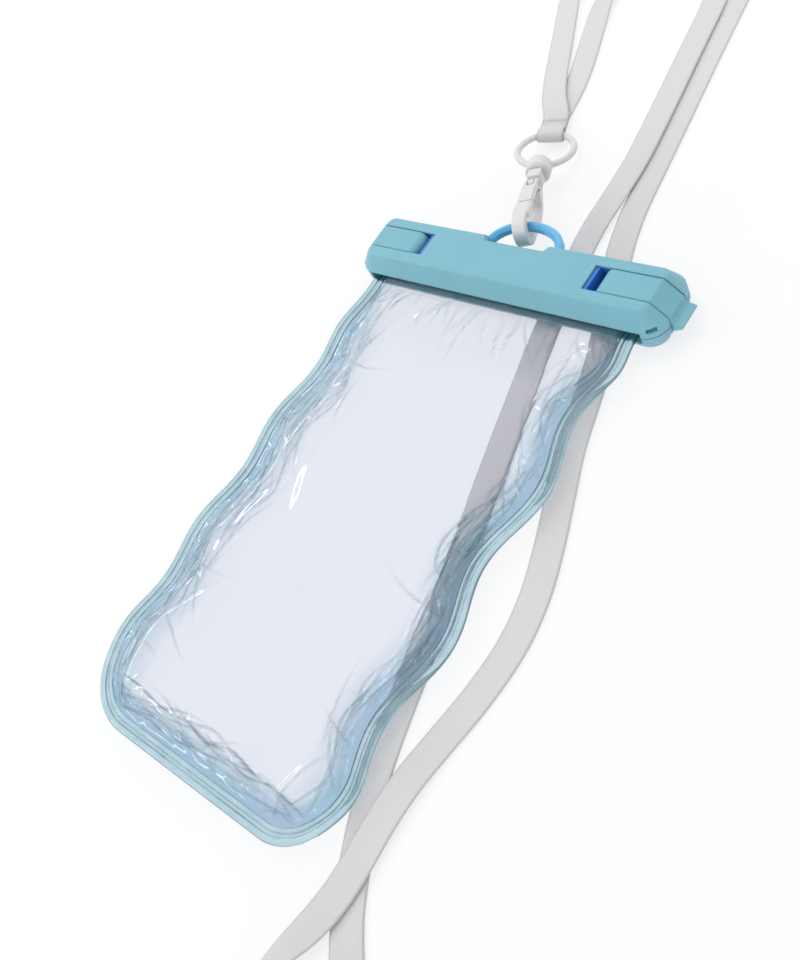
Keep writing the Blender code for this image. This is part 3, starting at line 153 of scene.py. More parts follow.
# x, y and the height of the lower edge in millimetres, then the tilt on edge in degrees
RIBBON_ROUTE_MM = [
    (-30.98, 165.5, 1.58, -10.8), (-32.12, 168.3, 1.66, -9.5), (-35.2, 173, 1.72, -6),
    (-39.7, 178.8, 1.5, -2.5), (-45.6, 189.2, 1.25, 0), (-51.6, 202, 1, 0), (-59.6, 219, 0.2, 2),
    (-68.4, 238.4, 0.05, 8), (-74, 254, 0.05, 34), (-76.5, 270, 0.05, 66), (-73, 284, 0.05, 80),
    (-62, 294.5, 0.05, 80), (-46, 299.5, 0.05, 80), (-29.5, 300, 0.05, 80), (-14, 295, 0.05, 80),
    (-3, 284, 0.05, 76), (3.8, 269, 0.05, 52), (7.2, 253.5, 0.05, 20), (8.4, 239.2, 0.05, 3),
    (12.2, 209.2, 0.05, 0), (16.2, 180.8, 0.05, 0), (19.8, 154.8, 0.05, 0), (22.4, 135.6, 0.05, 0),
    (24.3, 125, 0.05, 0), (27.9, 111.5, 0.05, 0), (33, 98.5, 0.05, 0), (38.3, 85.5, 0.05, 0),
    (43.5, 72, 0.05, 0), (48.6, 53.5, 0.05, 0), (53.4, 35.2, 0.05, 0), (59.4, 18.5, 0.05, 0),
    (65.2, 2.5, 0.05, 0), (69.7, -13.2, 0.05, 0), (71.6, -29.2, 0.05, 0), (70.4, -46.2, 0.05, 0),
    (67.8, -62, 0.2, 0), (66.3, -75, 1.1, 0), (65.9, -87, 1.25, 0), (66.3, -97.8, 1.25, 0),
    (66.2, -108, 1.25, 0), (64.7, -118, 1.2, -4), (61.7, -129, 0.6, -24), (59.4, -141, 0.05, -54),
    (60.4, -153, 0.05, -76), (67.5, -163, 0.05, -80), (79, -167.5, 0.05, -80), (90, -163.5, 0.05, -80),
    (96.5, -153.5, 0.05, -74), (95.5, -142, 0.05, -54), (89, -131.5, 0.05, -28), (81, -123, 0.05, -8),
    (73.2, -113.5, 0.05, 0), (67.8, -104.5, 0.05, 0), (63.6, -96, 0.05, 0), (59.4, -86.5, 0.05, 0),
    (55, -74, 0.05, 0), (51, -58, 0.05, 0), (47.2, -40, 0.05, 0), (43, -20, 0.05, 0), (38, 1, 0.05, 0),
    (32.5, 22, 0.05, 0), (27, 45, 0.05, 0), (21.5, 68, 0.05, 0), (16.8, 91, 0.05, 0), (13.8, 108, 0.1, 0),
    (12.9, 121, 0.9, 0), (12.9, 133.9, 1.2, 0), (12.1, 153.7, 1.25, 0), (8.7, 180, 1.25, 0),
    (4.5, 208.8, 1.25, 0), (0.1, 239.1, 1.2, -4), (-3.6, 251, 0.7, -26), (-10.5, 262, 0.05, -58),
    (-20, 268.5, 0.05, -76), (-32, 269.5, 0.05, -78), (-42.5, 263.5, 0.05, -68), (-48.8, 252, 0.05, -40),
    (-50.6, 238.5, 0.05, -12), (-46, 221.5, 0.05, -2), (-40.2, 204, 0.05, 0), (-36.2, 190, 0.05, 0.5),
    (-34.3, 180, 0.05, 2.5), (-33.2, 173, 0.16, 6), (-32.2, 168.01, 0.38, 9.5), (-31.08, 165.23, 0.52, 10.8),
]


def smooth_route(points, spacing):
    """A Catmull-Rom curve through the points, read at even spacing, with its heading in two more columns."""
    points = np.array(points, dtype=float)
    padded = np.vstack([2 * points[0] - points[1], points, 2 * points[-1] - points[-2]])
    a, b, c, d = (padded[k : len(points) - 1 + k, None, :] for k in range(4))
    t = np.linspace(0, 1, CURVE_STEPS, endpoint=False)[None, :, None]
    fine = 0.5 * (2 * b + (c - a) * t + (2 * a - 5 * b + 4 * c - d) * t**2 + (3 * b - a - 3 * c + d) * t**3)
    fine = np.vstack([fine.reshape(-1, points.shape[1]), points[-1]])
    gone = np.concatenate([[0], np.cumsum(np.linalg.norm(np.diff(fine[:, :2], axis=0), axis=1))])
    fine = np.column_stack([fine, np.gradient(fine[:, :2], axis=0)])
    stations = np.linspace(0, gone[-1], round(gone[-1] / spacing) + 1)
    return np.column_stack([np.interp(stations, gone, fine[:, k]) for k in range(fine.shape[1])])


def ribbon_line(spacing):
    """At each station: the ribbon's middle line, the direction across it and the direction its face looks."""
    route = np.array(RIBBON_ROUTE_MM, dtype=float)
    route[:, :3] /= 1000
    route[:, 3] = np.radians(route[:, 3])
    route = smooth_route(route, spacing)
    tilt = route[:, 3]
    height = route[:, 2] + RIBBON_THICKNESS / 2 * np.cos(tilt) + RIBBON_WIDTH / 2 * np.abs(np.sin(tilt))
    line = np.column_stack([route[:, 0], route[:, 1], height])
    along = np.column_stack([route[:, 4:6], np.zeros(len(line))])
    along /= np.linalg.norm(along, axis=1)[:, None]
    right = np.column_stack([along[:, 1], -along[:, 0], np.zeros(len(line))])
    width = right * np.cos(tilt)[:, None] + np.array([0.0, 0.0, 1.0]) * np.sin(tilt)[:, None]
    return line, width, np.cross(width, along)


def ribbon_section(count=23):
    """Across and through the band: a slot shape whose thickness dips a little just inside each woven edge."""
    across = np.sin(np.linspace(-1, 1, count) * math.pi / 2) * 0.35 + np.linspace(-1, 1, count) * 0.65
    dip = 1 - DIP_DEPTH * np.exp(-(((np.abs(across) - DIP_PLACE) / DIP_WIDTH) ** 2))
    half = RIBBON_THICKNESS / 2 * dip * np.sqrt(np.clip(1 - across**14, 0, 1))
    top = np.column_stack([across[::-1], half[::-1]])
    under = np.column_stack([across[1:-1], -half[1:-1]])
    section = np.vstack([top, under])
    return section * (RIBBON_WIDTH / 2, 1.0)


def band(name, line, width, face):
    """The ribbon's section carried along a line. Its UV map gives millimetres across and along the cloth."""
    section = ribbon_section()
    grid = line[:, None] + width[:, None] * section[None, :, :1] + face[:, None] * section[None, :, 1:]
    gone = np.concatenate([[0], np.cumsum(np.linalg.norm(np.diff(line, axis=0), axis=1))])
    across = np.broadcast_to(section[None, :, 0], grid.shape[:2]) * 1000
    uv = np.stack([across, np.broadcast_to(gone[:, None] * 1000, grid.shape[:2])], axis=-1)
    return mesh_object(name, grid, tube(grid), uv.reshape(-1, 2)), gone[-1]


line, width, face = ribbon_line(RIBBON_STEP)
ribbon, ribbon_length = band("neck_ribbon_cloth", line, width, face)
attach(ribbon, "case")
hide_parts("neck_ribbon")
print("ribbon length", round(float(ribbon_length), 3))

# %% [markdown]
# ## Sewn end round the ring
# Both ends of the ribbon's loop pass round the swivel ring's far side, and a stitched seam holds the fold.
# The fold is the same band carried round the ring's wire, in the ring's own leaning axes. The seam is
# thread: short rounded stitches in rows across the band, and one grid holds them all.

# %% Fold the ribbon round the ring
HOOK_TURN, HOOK_SLOPE, RING_ROLL = math.radians(24.0), math.radians(11.0), math.radians(-11.0)
HOOK_PLACE = np.array([-0.0023775, 0.1009870, 0.0160641])
RING_FAR_SIDE = 0.0638  # along the hook's axis, to the middle of the ring's far wire
RING_BOW = 0.00131  # how far that wire bows back across the ribbon's width
RING_WIRE_RADIUS, FOLD_SLACK = 0.00125, 0.0003
WRAP_RADIUS = RING_WIRE_RADIUS + FOLD_SLACK + RIBBON_THICKNESS / 2
FOLD_LENGTH = 0.0079  # from the wire's middle to the end of the fold
FOLD_CLOSES = 0.0052  # the two layers have come together this far along
LAYER_HEIGHT = 0.00055  # each layer's middle, from the fold's middle, where they lie together


def ring_axes():
    """The hook's axis falls towards the ring and leans left; the ring is rolled about it."""
    lean, fall = (math.sin(HOOK_TURN), math.cos(HOOK_TURN)), (math.sin(HOOK_SLOPE), math.cos(HOOK_SLOPE))
    along = np.array([-lean[0] * fall[1], lean[1] * fall[1], -fall[0]])
    side = np.array([lean[1], lean[0], 0.0])
    up = np.cross(side, along)
    rolled = side * math.cos(RING_ROLL) + up * math.sin(RING_ROLL)
    return along, rolled, np.cross(rolled, along)


def fold_path():
    """Distance along the hook's axis and height over it: over the wire, round its near side, out beneath."""
    turn = np.radians(np.linspace(90, 270, 25))
    round_wire = np.column_stack(
        [RING_FAR_SIDE - RING_BOW + WRAP_RADIUS * np.cos(turn), WRAP_RADIUS * np.sin(turn)]
    )
    reach = np.linspace(FOLD_LENGTH, 0.0, 20)
    height = LAYER_HEIGHT + (WRAP_RADIUS - LAYER_HEIGHT) * (1 - smooth(reach / FOLD_CLOSES))
    over = np.column_stack([RING_FAR_SIDE + reach, height])
    under = np.column_stack([RING_FAR_SIDE + reach[::-1], -height[::-1]])
    return np.vstack([over, round_wire, under])


along, side, up = ring_axes()
fold = fold_path()
fold_line = HOOK_PLACE + fold[:, :1] * along + fold[:, 1:] * up
heading = np.gradient(fold_line, axis=0)
heading /= np.linalg.norm(heading, axis=1)[:, None]
fold_width = np.broadcast_to(side, heading.shape)
end_fold, _ = band("ribbon_end_fold", fold_line, fold_width, np.cross(fold_width, heading))
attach(end_fold, "case")
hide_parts("ribbon_end_loop")

STITCH_ROWS = (0.0045, 0.0066)  # along the band from the ring's far wire
STITCH_LENGTH, THREAD_RADIUS, STITCH_ARCH = 0.00085, 0.00012, 0.00010
SEAM_HEIGHT = 0.00097  # on the cloth of either layer
stitch_across = np.linspace(-0.0042, 0.0042, 8)


def stitches():
    """Each stitch is an arched thread: its height is a half sine along it, and its section is a hexagon."""
    t, a = np.linspace(0, 1, 7), np.radians(np.arange(0, 360, 60))
    local = np.zeros((len(t), len(a), 3))
    radius = THREAD_RADIUS * np.sin(math.pi * np.clip(t, 0.04, 0.96))[:, None] ** 0.5
    local[..., 0] = (t - 0.5)[:, None] * STITCH_LENGTH
    local[..., 1] = radius * np.cos(a)
    local[..., 2] = radius * np.sin(a) + STITCH_ARCH * np.sin(math.pi * t)[:, None]
    points, faces = [], []
    for sign in (1, -1):
        for row in STITCH_ROWS:
            for x in stitch_across:
                here = HOOK_PLACE + (RING_FAR_SIDE + row) * along + sign * up * SEAM_HEIGHT + x * side
                grid = here + local[..., :1] * side + local[..., 1:2] * along + sign * local[..., 2:] * up
                faces += [[i + len(t) * len(a) * len(points) for i in f] for f in tube(grid)]
                points.append(grid)
    return np.array(points), faces


seam = mesh_object("ribbon_end_stitches", *stitches())
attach(seam, "case")
print("fold points", len(fold), "stitches", len(STITCH_ROWS) * len(stitch_across) * 2)

# %% [markdown]
# ## The pouch's outline
# The pouch is two clear films welded together round three sides. Its sides go slack in soft waves, which
# die out at the clamp and at the bottom corners. These few formulas give the outline at any height, and
# both the rim and the films are built from them, so they always meet.

# %% Outline formulas
POUCH_LENGTH, POUCH_HALF_WIDTH = 0.1844, 0.0565
POUCH_BOTTOM_Y, MOUTH_TOP = -0.109, 0.20585
# a height here is measured up the pouch from its bottom, and -1 and 1 are its left and right sides
CORNER = {-1: 0.027, 1: 0.019}  # the radius of each bottom corner
WAVE = {-1: (0.0018, 0.046, 0.118), 1: (0.0028, 0.054, 0.125)}  # size, pitch and the height of a crest
RIM_WIDTH = 0.005
RIM_LOW, RIM_HIGH = 0.0054, 0.0070  # over the table, at the bottom and at the clamp
# over the table: the full front wall, the rear wall, and the rear wall where the ribbon passes under it
FRONT_FULL_Z, REAR_REST_Z, REAR_LIFT_Z = 0.0106, 0.00030, 0.00195
FRONT_CLAMP_Z, REAR_CLAMP_Z = 0.00905, 0.00495
BULGE_END = POUCH_LENGTH - 0.0264  # from here on the walls draw in towards the clamp


def half_width(side, height):
    """Half the pouch's width plus a cosine wave that fades at the clamp and at the corner."""
    size, pitch, crest = WAVE[side]
    fade = smooth((POUCH_LENGTH - height) / CORNER[side]) * smooth((height - CORNER[side] / 2) / CORNER[side])
    return POUCH_HALF_WIDTH + fade * size * np.cos(2 * math.pi * (height - crest) / pitch)


def film_half_width(side, height, inset):
    """The same, drawn in by the inset and rounded at the bottom corner by a quarter circle."""
    radius = CORNER[side] - inset
    drop = np.clip(radius - (height - inset), 0.0, radius)
    return half_width(side, height) - inset - radius + np.sqrt(radius**2 - drop**2)


def rim_height(height):
    """The rim climbs evenly from the bottom of the pouch to the clamp."""
    return RIM_LOW + (RIM_HIGH - RIM_LOW) * np.clip(height / POUCH_LENGTH, 0, 1)


print("half width at 125 mm:", round(float(half_width(1, 0.125)) * 1000, 2), "mm")

# %% [markdown]
# ## Films
# Each wall is soft film that bulges over the pocket and gathers in folds where the clamp pinches it and
# along the slack sides. A cloth solver would find such folds at random. Here the folds are written down
# instead: each is a ridge, a bell curve across and along its own direction, and the sum of about two
# hundred is laid over the bulge. That keeps the folds where the real ones are. A seeded generator makes the
# same folds on every run.

# %% Shape the films
FILM_THICKNESS = 0.0003
FILM_INSET = RIM_WIDTH - 0.0001
FRONT_SEED, REAR_SEED = 5, 11
ROWS, COLUMNS, CORNER_ROWS = 335, 143, 40
# painted shade: the films get thin dark lines along their folds, as dark as each fold is steep
SHADE_LINE_WIDTH = 0.00036  # half the width of a crease line, about the finest that the grid carries
BEND = 0.12  # how much a fold curves along its length
# a fold draws a painted shade line once its height over its width passes the first number, at this gain
STEEP_FROM, STEEP_GAIN = 0.22, 3.2


def ridges(x, y, folds):
    """The sum of ridges, and their painted shade lines. Each fold is x, y, angle, length, width and height.
    Its ridge falls off as two bell curves. Its shade line is a narrower one, as dark as the ridge is steep."""
    total, shade_lines = np.zeros_like(x), np.zeros_like(x)
    for fx, fy, angle, length, wide, high in folds:
        c, s = math.cos(angle), math.sin(angle)
        u = (x - fx) * c + (y - fy) * s
        v = -(x - fx) * s + (y - fy) * c + BEND * u * u / length
        total += high * np.exp(-((u / length) ** 2) - (v / wide) ** 2)
        steep_shade = min(1.0, max(0.0, abs(high) / wide - STEEP_FROM) * STEEP_GAIN)
        shade_lines = np.maximum(shade_lines, steep_shade * np.exp(-((u / length) ** 2) - (v / SHADE_LINE_WIDTH) ** 2))
    return total, shade_lines


def edge_direction(side, height, step=0.001):
    """The angle at which the wavy edge runs there, from its half width a little above and below."""
    rise = float(half_width(side, height + step) - half_width(side, height - step)) / (2 * step)
    return math.pi / 2 - side * math.atan(rise)


def side_folds(rng, each=19):
    """Long folds that run down beside the rim, where the film is slack."""
    folds = []
    for side in (-1, 1):
        for height in np.linspace(0.016, 0.168, each):
            inward = rng.uniform(0.008, 0.019)
            x = side * (float(half_width(side, height)) - inward)
            angle = edge_direction(side, height) + rng.uniform(-0.30, 0.30)
            length, wide = rng.uniform(0.006, 0.016), rng.uniform(0.0012, 0.0024)
            folds.append((x, height, angle, length, wide, rng.uniform(-1, 1) * 0.0013))
    return folds


def fine_folds(rng, count=40):
    """Short sharp creases scattered over the slack strips along the sides and the bottom."""
    folds = []
    for k in range(count):
        side, inward = (-1, 1)[k % 2], rng.uniform(0.006, 0.017)
        if k % 5 == 0:
            x, height, angle = rng.uniform(-0.042, 0.042), rng.uniform(0.006, 0.015), rng.uniform(-0.6, 0.6)
        else:
            height, across = rng.uniform(0.018, 0.172), 1.2 if k % 7 == 0 else 0.0
            x = side * (float(half_width(side, height)) - inward)
            angle = edge_direction(side, height) + across + rng.uniform(-0.40, 0.40)
        wide = rng.uniform(0.0006, 0.0009)
        high = rng.choice((-1, 1)) * wide * rng.uniform(0.35, 0.60)
        folds.append((x, height, angle, rng.uniform(0.004, 0.012), wide, high))
    return folds


def streaks(x, height, from_side, rng, count=46):
    """Long thin folds along the edge: a bell curve of the distance from it, which meanders as a sine wave.
    Of every four, one follows the bottom, two the left side and one the right side."""
    total, shade_lines = np.zeros_like(x), np.zeros_like(x)
    for k in range(count):
        along, away = (height, from_side) if k % 4 else (x, height)
        middle = rng.uniform(0.020, 0.176) if k % 4 else rng.uniform(-0.038, 0.038)
        reach, wide = rng.uniform(0.007, 0.020), rng.uniform(0.0005, 0.0009)
        distance = rng.uniform(0.0022, 0.0110) + (0.0 if k % 4 else FILM_INSET)
        meander = 0.0009 * np.sin(along * rng.uniform(150, 330) + rng.uniform(0, 6))
        one_side = np.where(x * (-1) ** k > 0, 1.0, 0.0) if k % 4 else 1.0
        fade = one_side * np.exp(-(((along - middle) / reach) ** 4))
        off = away - distance - meander
        total += fade * np.exp(-((off / wide) ** 2)) * wide * rng.uniform(0.30, 0.55) * rng.choice((-1, 1))
        # painted shade: a thin dark line along each streak
        shade_lines = np.maximum(shade_lines, rng.uniform(0.3, 1.0) * fade * np.exp(-((off / SHADE_LINE_WIDTH) ** 2)))
    return total, shade_lines


def rim_folds(rng):
    """Short puckers that point inwards from the weld."""
    folds = []
    for side in (-1, 1):
        for height in np.arange(0.030, 0.160, 0.0085):
            x = side * (float(half_width(side, height)) - rng.uniform(0.008, 0.011))
            angle = side * rng.uniform(-0.7, 0.7)
            height += rng.uniform(-0.003, 0.003)
            high = rng.uniform(-1, 1) * 0.0009
            folds.append((x, height, angle, rng.uniform(0.003, 0.006), rng.uniform(0.0010, 0.0017), high))
    for x in np.arange(-0.040, 0.042, 0.0075):
        angle, high = math.pi / 2 + rng.uniform(-0.8, 0.8), rng.uniform(-1, 1) * 0.0010
        height, length = rng.uniform(0.008, 0.012), rng.uniform(0.003, 0.007)
        folds.append((x, height, angle, length, rng.uniform(0.001, 0.002), high))
    return folds


def clamp_folds(rng, count=15):
    """Pleats that fan out below the clamp."""
    folds = []
    for x in np.linspace(-0.050, 0.050, count):
        angle = math.pi / 2 + x * 9 + rng.uniform(-0.5, 0.5)
        height = POUCH_LENGTH - rng.uniform(0.004, 0.012)
        high = rng.choice((-1, 1)) * rng.uniform(0.0004, 0.0012)
        folds.append((x, height, angle, rng.uniform(0.004, 0.012), rng.uniform(0.0013, 0.0026), high))
    return folds


def wide_folds(rng, count=16):
    """A few faint, long creases over the middle."""
    folds = []
    for _ in range(count):
        x, height, angle = rng.uniform(-0.03, 0.03), rng.uniform(0.03, 0.15), rng.uniform(0, math.pi)
        high = rng.uniform(-1, 1) * 0.0005
        folds.append((x, height, angle, rng.uniform(0.015, 0.030), rng.uniform(0.0030, 0.0060), high))
    return folds


# each kind of fold, and how dark its painted shade lines are drawn
FAMILIES = ((side_folds, 0.5), (rim_folds, 0.3), (clamp_folds, 0.6), (wide_folds, 0.0), (fine_folds, 0.6))
# the distance over which a wall rises from the weld to its full height
SIDE_SLOPE, CLAMP_SLOPE, BOTTOM_SLOPE = 0.013, 0.0022, 0.010
WELD_GAP = 0.0004  # from the middle of the weld to each film's edge
REAR_LIFT_START, REAR_LIFT_RUN = 0.046, 0.024  # where the rear wall leaves the table
WELD_HOLD, CLAMP_HOLD = 0.004, 0.006  # folds fade out over these distances
REAR_FOLD_SHARE = 0.6  # the table presses the rear wall's folds flatter, and they only rise


def film_grid(front, seed):
    """Across and up: the edge's height plus a bulge that rises over a side slope, plus the folds."""
    inset = FILM_INSET
    low = inset + (CORNER[1] - inset) * (1 - np.cos(np.linspace(0, math.pi / 2, CORNER_ROWS + 1)))
    rows = np.concatenate([low[:-1], np.linspace(CORNER[1], MOUTH_TOP, ROWS - CORNER_ROWS)])
    s = np.linspace(-1, 1, COLUMNS)
    share = 0.6 * np.sin(s * math.pi / 2) + 0.4 * s
    height = np.repeat(rows[:, None], COLUMNS, 1)
    left, right = (film_half_width(side, rows[:, None], inset) for side in (-1, 1))
    half = np.where(share < 0, left, right)
    x = half * share
    from_side = half - np.abs(x)
    into_clamp = smooth((height - BULGE_END) / (POUCH_LENGTH - BULGE_END))
    slope = SIDE_SLOPE + (CLAMP_SLOPE - SIDE_SLOPE) * into_clamp
    full = smooth(from_side / slope) * smooth((height - inset) / BOTTOM_SLOPE)
    if front:
        middle = FRONT_FULL_Z + (FRONT_CLAMP_Z - FRONT_FULL_Z) * into_clamp
    else:
        lying = REAR_REST_Z + (REAR_LIFT_Z - REAR_REST_Z) * smooth((height - REAR_LIFT_START) / REAR_LIFT_RUN)
        middle = lying + (REAR_CLAMP_Z - lying) * into_clamp
    edge = rim_height(height) + (WELD_GAP if front else -WELD_GAP)
    z = edge + (middle - edge) * full
    rng = np.random.default_rng(seed)
    hold = smooth(from_side / WELD_HOLD) * smooth((height - inset) / WELD_HOLD)
    hold = hold * smooth((POUCH_LENGTH - height) / CLAMP_HOLD)
    wrinkle, shade_lines = streaks(x, height, from_side, rng)
    for family, shade_strength in FAMILIES:
        rise, family_shade_lines = ridges(x, height, family(rng))
        wrinkle, shade_lines = wrinkle + rise, np.maximum(shade_lines, shade_strength * family_shade_lines)
    wrinkle *= hold
    if not front:
        wrinkle = REAR_FOLD_SHARE * np.abs(wrinkle)
    return np.stack([x, POUCH_BOTTOM_Y + height, z + wrinkle], axis=-1), shade_lines * hold, full


def film(name, front, seed):
    """The grid twice, half a thickness up and down, joined along its border."""
    grid, shade_lines, full = film_grid(front, seed)
    rows, columns = grid.shape[:2]
    lift = np.array([0, 0, FILM_THICKNESS / 2])
    points = np.vstack([(grid + lift).reshape(-1, 3), (grid - lift).reshape(-1, 3)])
    index = np.arange(rows * columns).reshape(rows, columns)
    a, b, c, d = index[:-1, :-1], index[:-1, 1:], index[1:, 1:], index[1:, :-1]
    top = np.stack([a, b, c, d], axis=-1).reshape(-1, 4)
    under = top[:, ::-1] + index.size
    border = np.concatenate([index[0], index[1:, -1], index[-1, -2::-1], index[-2:0:-1, 0]])
    after = np.roll(border, -1)
    wall = np.stack([after, border, border + index.size, after + index.size], axis=-1)
    obj = mesh_object(name, points, np.vstack([top, under, wall]).tolist())
    # the painted shade lines along the folds are stored for the film's finish
    point_values(obj, "crease_shade", np.tile(shade_lines.ravel(), 2))
    point_values(obj, "slack", np.tile(1 - full.ravel(), 2))
    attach(obj, "case")
    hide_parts(name.replace("_wall", "_film"))
    return obj


front_wall = film("front_wall", True, FRONT_SEED)
rear_wall = film("rear_wall", False, REAR_SEED)
print("film faces", len(front_wall.data.polygons), len(rear_wall.data.polygons))

# %% [markdown]
# ## Welded rim
# A hot bar welds the two films into a band round the pouch. The melted edge swells into a rounded bead, and
# a second, smaller bead runs along the inner side. The band is one profile carried round the outline: its
# half thickness is the greatest of two half ellipses and a thin web. A profile along a path suits any
# moulding or weld.

# %% Carry the rim's profile round the pouch
# each bead's middle across the band, half its width, and its half thickness
OUTER_BEAD, INNER_BEAD = (0.0011, 0.0011, 0.00095), (0.0042, 0.0008, 0.00070)
WEB_HALF = 0.00042
# where the painted shade lines lie across the band, at its edges and between the beads, and how wide each is
BEAD_SHADE_LINES = np.array([0.0, 0.0023, 0.0033, RIM_WIDTH])
BEAD_SHADE_WIDTHS = np.array([0.00022, 0.00013, 0.00013, 0.00022])


def rim_line(inset, leg_steps=190, turn_steps=30, base_steps=90):
    """From the mouth down the left side, along the bottom and up the right, at one distance from the edge."""
    pieces = []
    for side in (-1, 1):
        radius = CORNER[side]
        a = np.radians(np.linspace(0, 90, turn_steps))
        leg = np.linspace(MOUTH_TOP, radius, leg_steps, endpoint=False)
        height = np.concatenate([leg, radius - (radius - inset) * np.sin(a)])
        pieces.append(np.stack([side * film_half_width(side, height, inset), height], axis=-1))
    left, right = pieces[0], pieces[1][::-1]
    share = np.linspace(0, 1, base_steps + 2)[1:-1, None]
    base = left[-1] + (right[0] - left[-1]) * share
    return np.vstack([left, base, right])


def bead(across, middle, reach, half):
    """Half an ellipse about the bead's middle, and 0 beyond its reach."""
    return half * np.sqrt(np.clip(1 - ((across - middle) / reach) ** 2, 0, 1))


def rim_profile(count=31):
    """Half thickness across the band: the greatest of an outer bead, an inner bead and a web between them."""
    across = RIM_WIDTH / 2 * (1 - np.cos(np.linspace(0, math.pi, count)))
    web = WEB_HALF * np.sqrt(np.clip(np.sin(math.pi * across / RIM_WIDTH), 0, 1))
    half = np.maximum(np.maximum(bead(across, *OUTER_BEAD), bead(across, *INNER_BEAD)), web)
    return np.vstack([np.column_stack([across, half]), np.column_stack([across, -half])[-2:0:-1]])


def rim():
    """Each point of the profile follows the outline at its own inset."""
    profile = rim_profile()
    edge = np.stack([rim_line(inset) for inset in profile[:, 0]], axis=1)
    height = rim_height(edge[..., 1]) + profile[None, :, 1]
    grid = np.stack([edge[..., 0], POUCH_BOTTOM_Y + edge[..., 1], height], axis=-1)
    obj = mesh_object("rim_weld", grid, tube(grid))
    # painted shade: dark lines at the band's edges and between its beads, stored for the rim's finish
    off = np.abs(profile[:, 0][:, None] - BEAD_SHADE_LINES)
    shade_lines = np.exp(-((off / BEAD_SHADE_WIDTHS) ** 2)).max(axis=1)
    point_values(obj, "bead_edge_shade", np.tile(shade_lines, len(grid)))
    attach(obj, "case")
    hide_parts("welded_rim")
    return obj


rim_weld = rim()
print("rim faces", len(rim_weld.data.polygons))

# %% [markdown]
# ## Patterns for the finishes
# A pattern that several finishes share is a node group with named inputs and outputs. The first gives the
# fine skin of moulded plastic, from two sizes of noise. The second gives plain weave: the product of two
# sine waves, one for the yarns along the band and one for those across it. Groups give only values and
# colours. Each finish keeps its own Principled shader.

# %% Node groups
BROAD_SCALE = 55.0  # of the patches of tone in moulded plastic
SELVEDGE_FROM_MM = 4.35  # from the ribbon's middle to its woven edges


def feed(tree, socket, value):
    """Sets a socket to a number or colour, or links another node's output to it."""
    if isinstance(value, (int, float, list, tuple)):
        socket.default_value = value
    else:
        tree.links.new(value, socket)


def new_group(name, inputs, outputs):
    """A shader node group with float or vector inputs and float outputs."""
    tree = bpy.data.node_groups.new(name, "ShaderNodeTree")
    for label, kind, value in inputs:
        socket = tree.interface.new_socket(name=label, in_out="INPUT", socket_type=kind)
        if value is not None:
            socket.default_value = value
    for label in outputs:
        tree.interface.new_socket(name=label, in_out="OUTPUT", socket_type="NodeSocketFloat")
    return tree, tree.nodes.new("NodeGroupInput"), tree.nodes.new("NodeGroupOutput")


def maths(tree, operation, *values):
    """A Math node. Each value is a number or another node's output."""
    node = tree.nodes.new("ShaderNodeMath")
    node.operation = operation
    for socket, value in zip(node.inputs, values):
        feed(tree, socket, value)
    return node.outputs[0]


def noise(tree, place, scale, detail):
    """Noise about 0.5, from a place, with a number or a node's output as its scale."""
    node = tree.nodes.new("ShaderNodeTexNoise")
    node.inputs["Detail"].default_value = detail
    tree.links.new(place, node.inputs["Vector"])
    feed(tree, node.inputs["Scale"], scale)
    return node.outputs["Fac"]


def moulded_skin():
    """Grain is fine noise, and tone is broad noise, both about 0.5."""
    tree, given, out = new_group(
        "moulded_skin",
        [("Place", "NodeSocketVector", None), ("Grain scale", "NodeSocketFloat", 4000.0)],
        ["Grain", "Tone"],
    )
    place = given.outputs["Place"]
    tree.links.new(noise(tree, place, given.outputs["Grain scale"], 3.0), out.inputs["Grain"])
    tree.links.new(noise(tree, place, BROAD_SCALE, 2.0), out.inputs["Tone"])
    return tree


def plain_weave():
    """Height is sin(across) times sin(along), raised into a bumpy check; edge is 1 on the two woven edges."""
    tree, given, out = new_group(
        "plain_weave",
        [("Place", "NodeSocketVector", None), ("Yarns per mm", "NodeSocketFloat", 2.4)],
        ["Height", "Edge"],
    )
    split = tree.nodes.new("ShaderNodeSeparateXYZ")
    tree.links.new(given.outputs["Place"], split.inputs[0])
    turn = maths(tree, "MULTIPLY", given.outputs["Yarns per mm"], math.pi)
    across = maths(tree, "SINE", maths(tree, "MULTIPLY", split.outputs["X"], turn))
    along = maths(tree, "SINE", maths(tree, "MULTIPLY", split.outputs["Y"], turn))
    check = maths(tree, "MULTIPLY", across, along)
    tree.links.new(maths(tree, "MULTIPLY_ADD", check, 0.5, 0.5), out.inputs["Height"])
    outward = maths(tree, "ABSOLUTE", split.outputs["X"])
    tree.links.new(maths(tree, "GREATER_THAN", outward, SELVEDGE_FROM_MM), out.inputs["Edge"])
    return tree


SKIN, WEAVE = moulded_skin(), plain_weave()
print("groups:", [g.name for g in bpy.data.node_groups])

# %% [markdown]
# ## Finishes
# The bars are satin turquoise plastic that goes a little paler and deeper in patches. The inner frame is
# the same kind of plastic in sky blue, painted a deeper blue inside the clamp as shade. The hook and ring
# are off-white, the pins steel. A colour is written as it looks on a screen and turned into the linear value
# that the shader wants.

# %% Build the finishes
GRAIN_ROUGHNESS = 0.16  # how much the grain changes the roughness, from its hollows to its tops
# below the arch line the blue is painted deeper, as the shade inside the clamp
ARCH_LINE_Y, RECESS_SHADE_RATE = 0.099, 400.0  # the arch starts at this line, and the blend's rate for each metre
WORN_TONE = (0.945, 0.935, 0.93)  # the ribbon's greyer patches, as shares of its colour


def linear(colour):
    """A screen colour as the linear value that a shader takes, with an alpha of 1."""
    return [c / 12.92 if c <= 0.04045 else ((c + 0.055) / 1.055) ** 2.4 for c in colour] + [1.0]


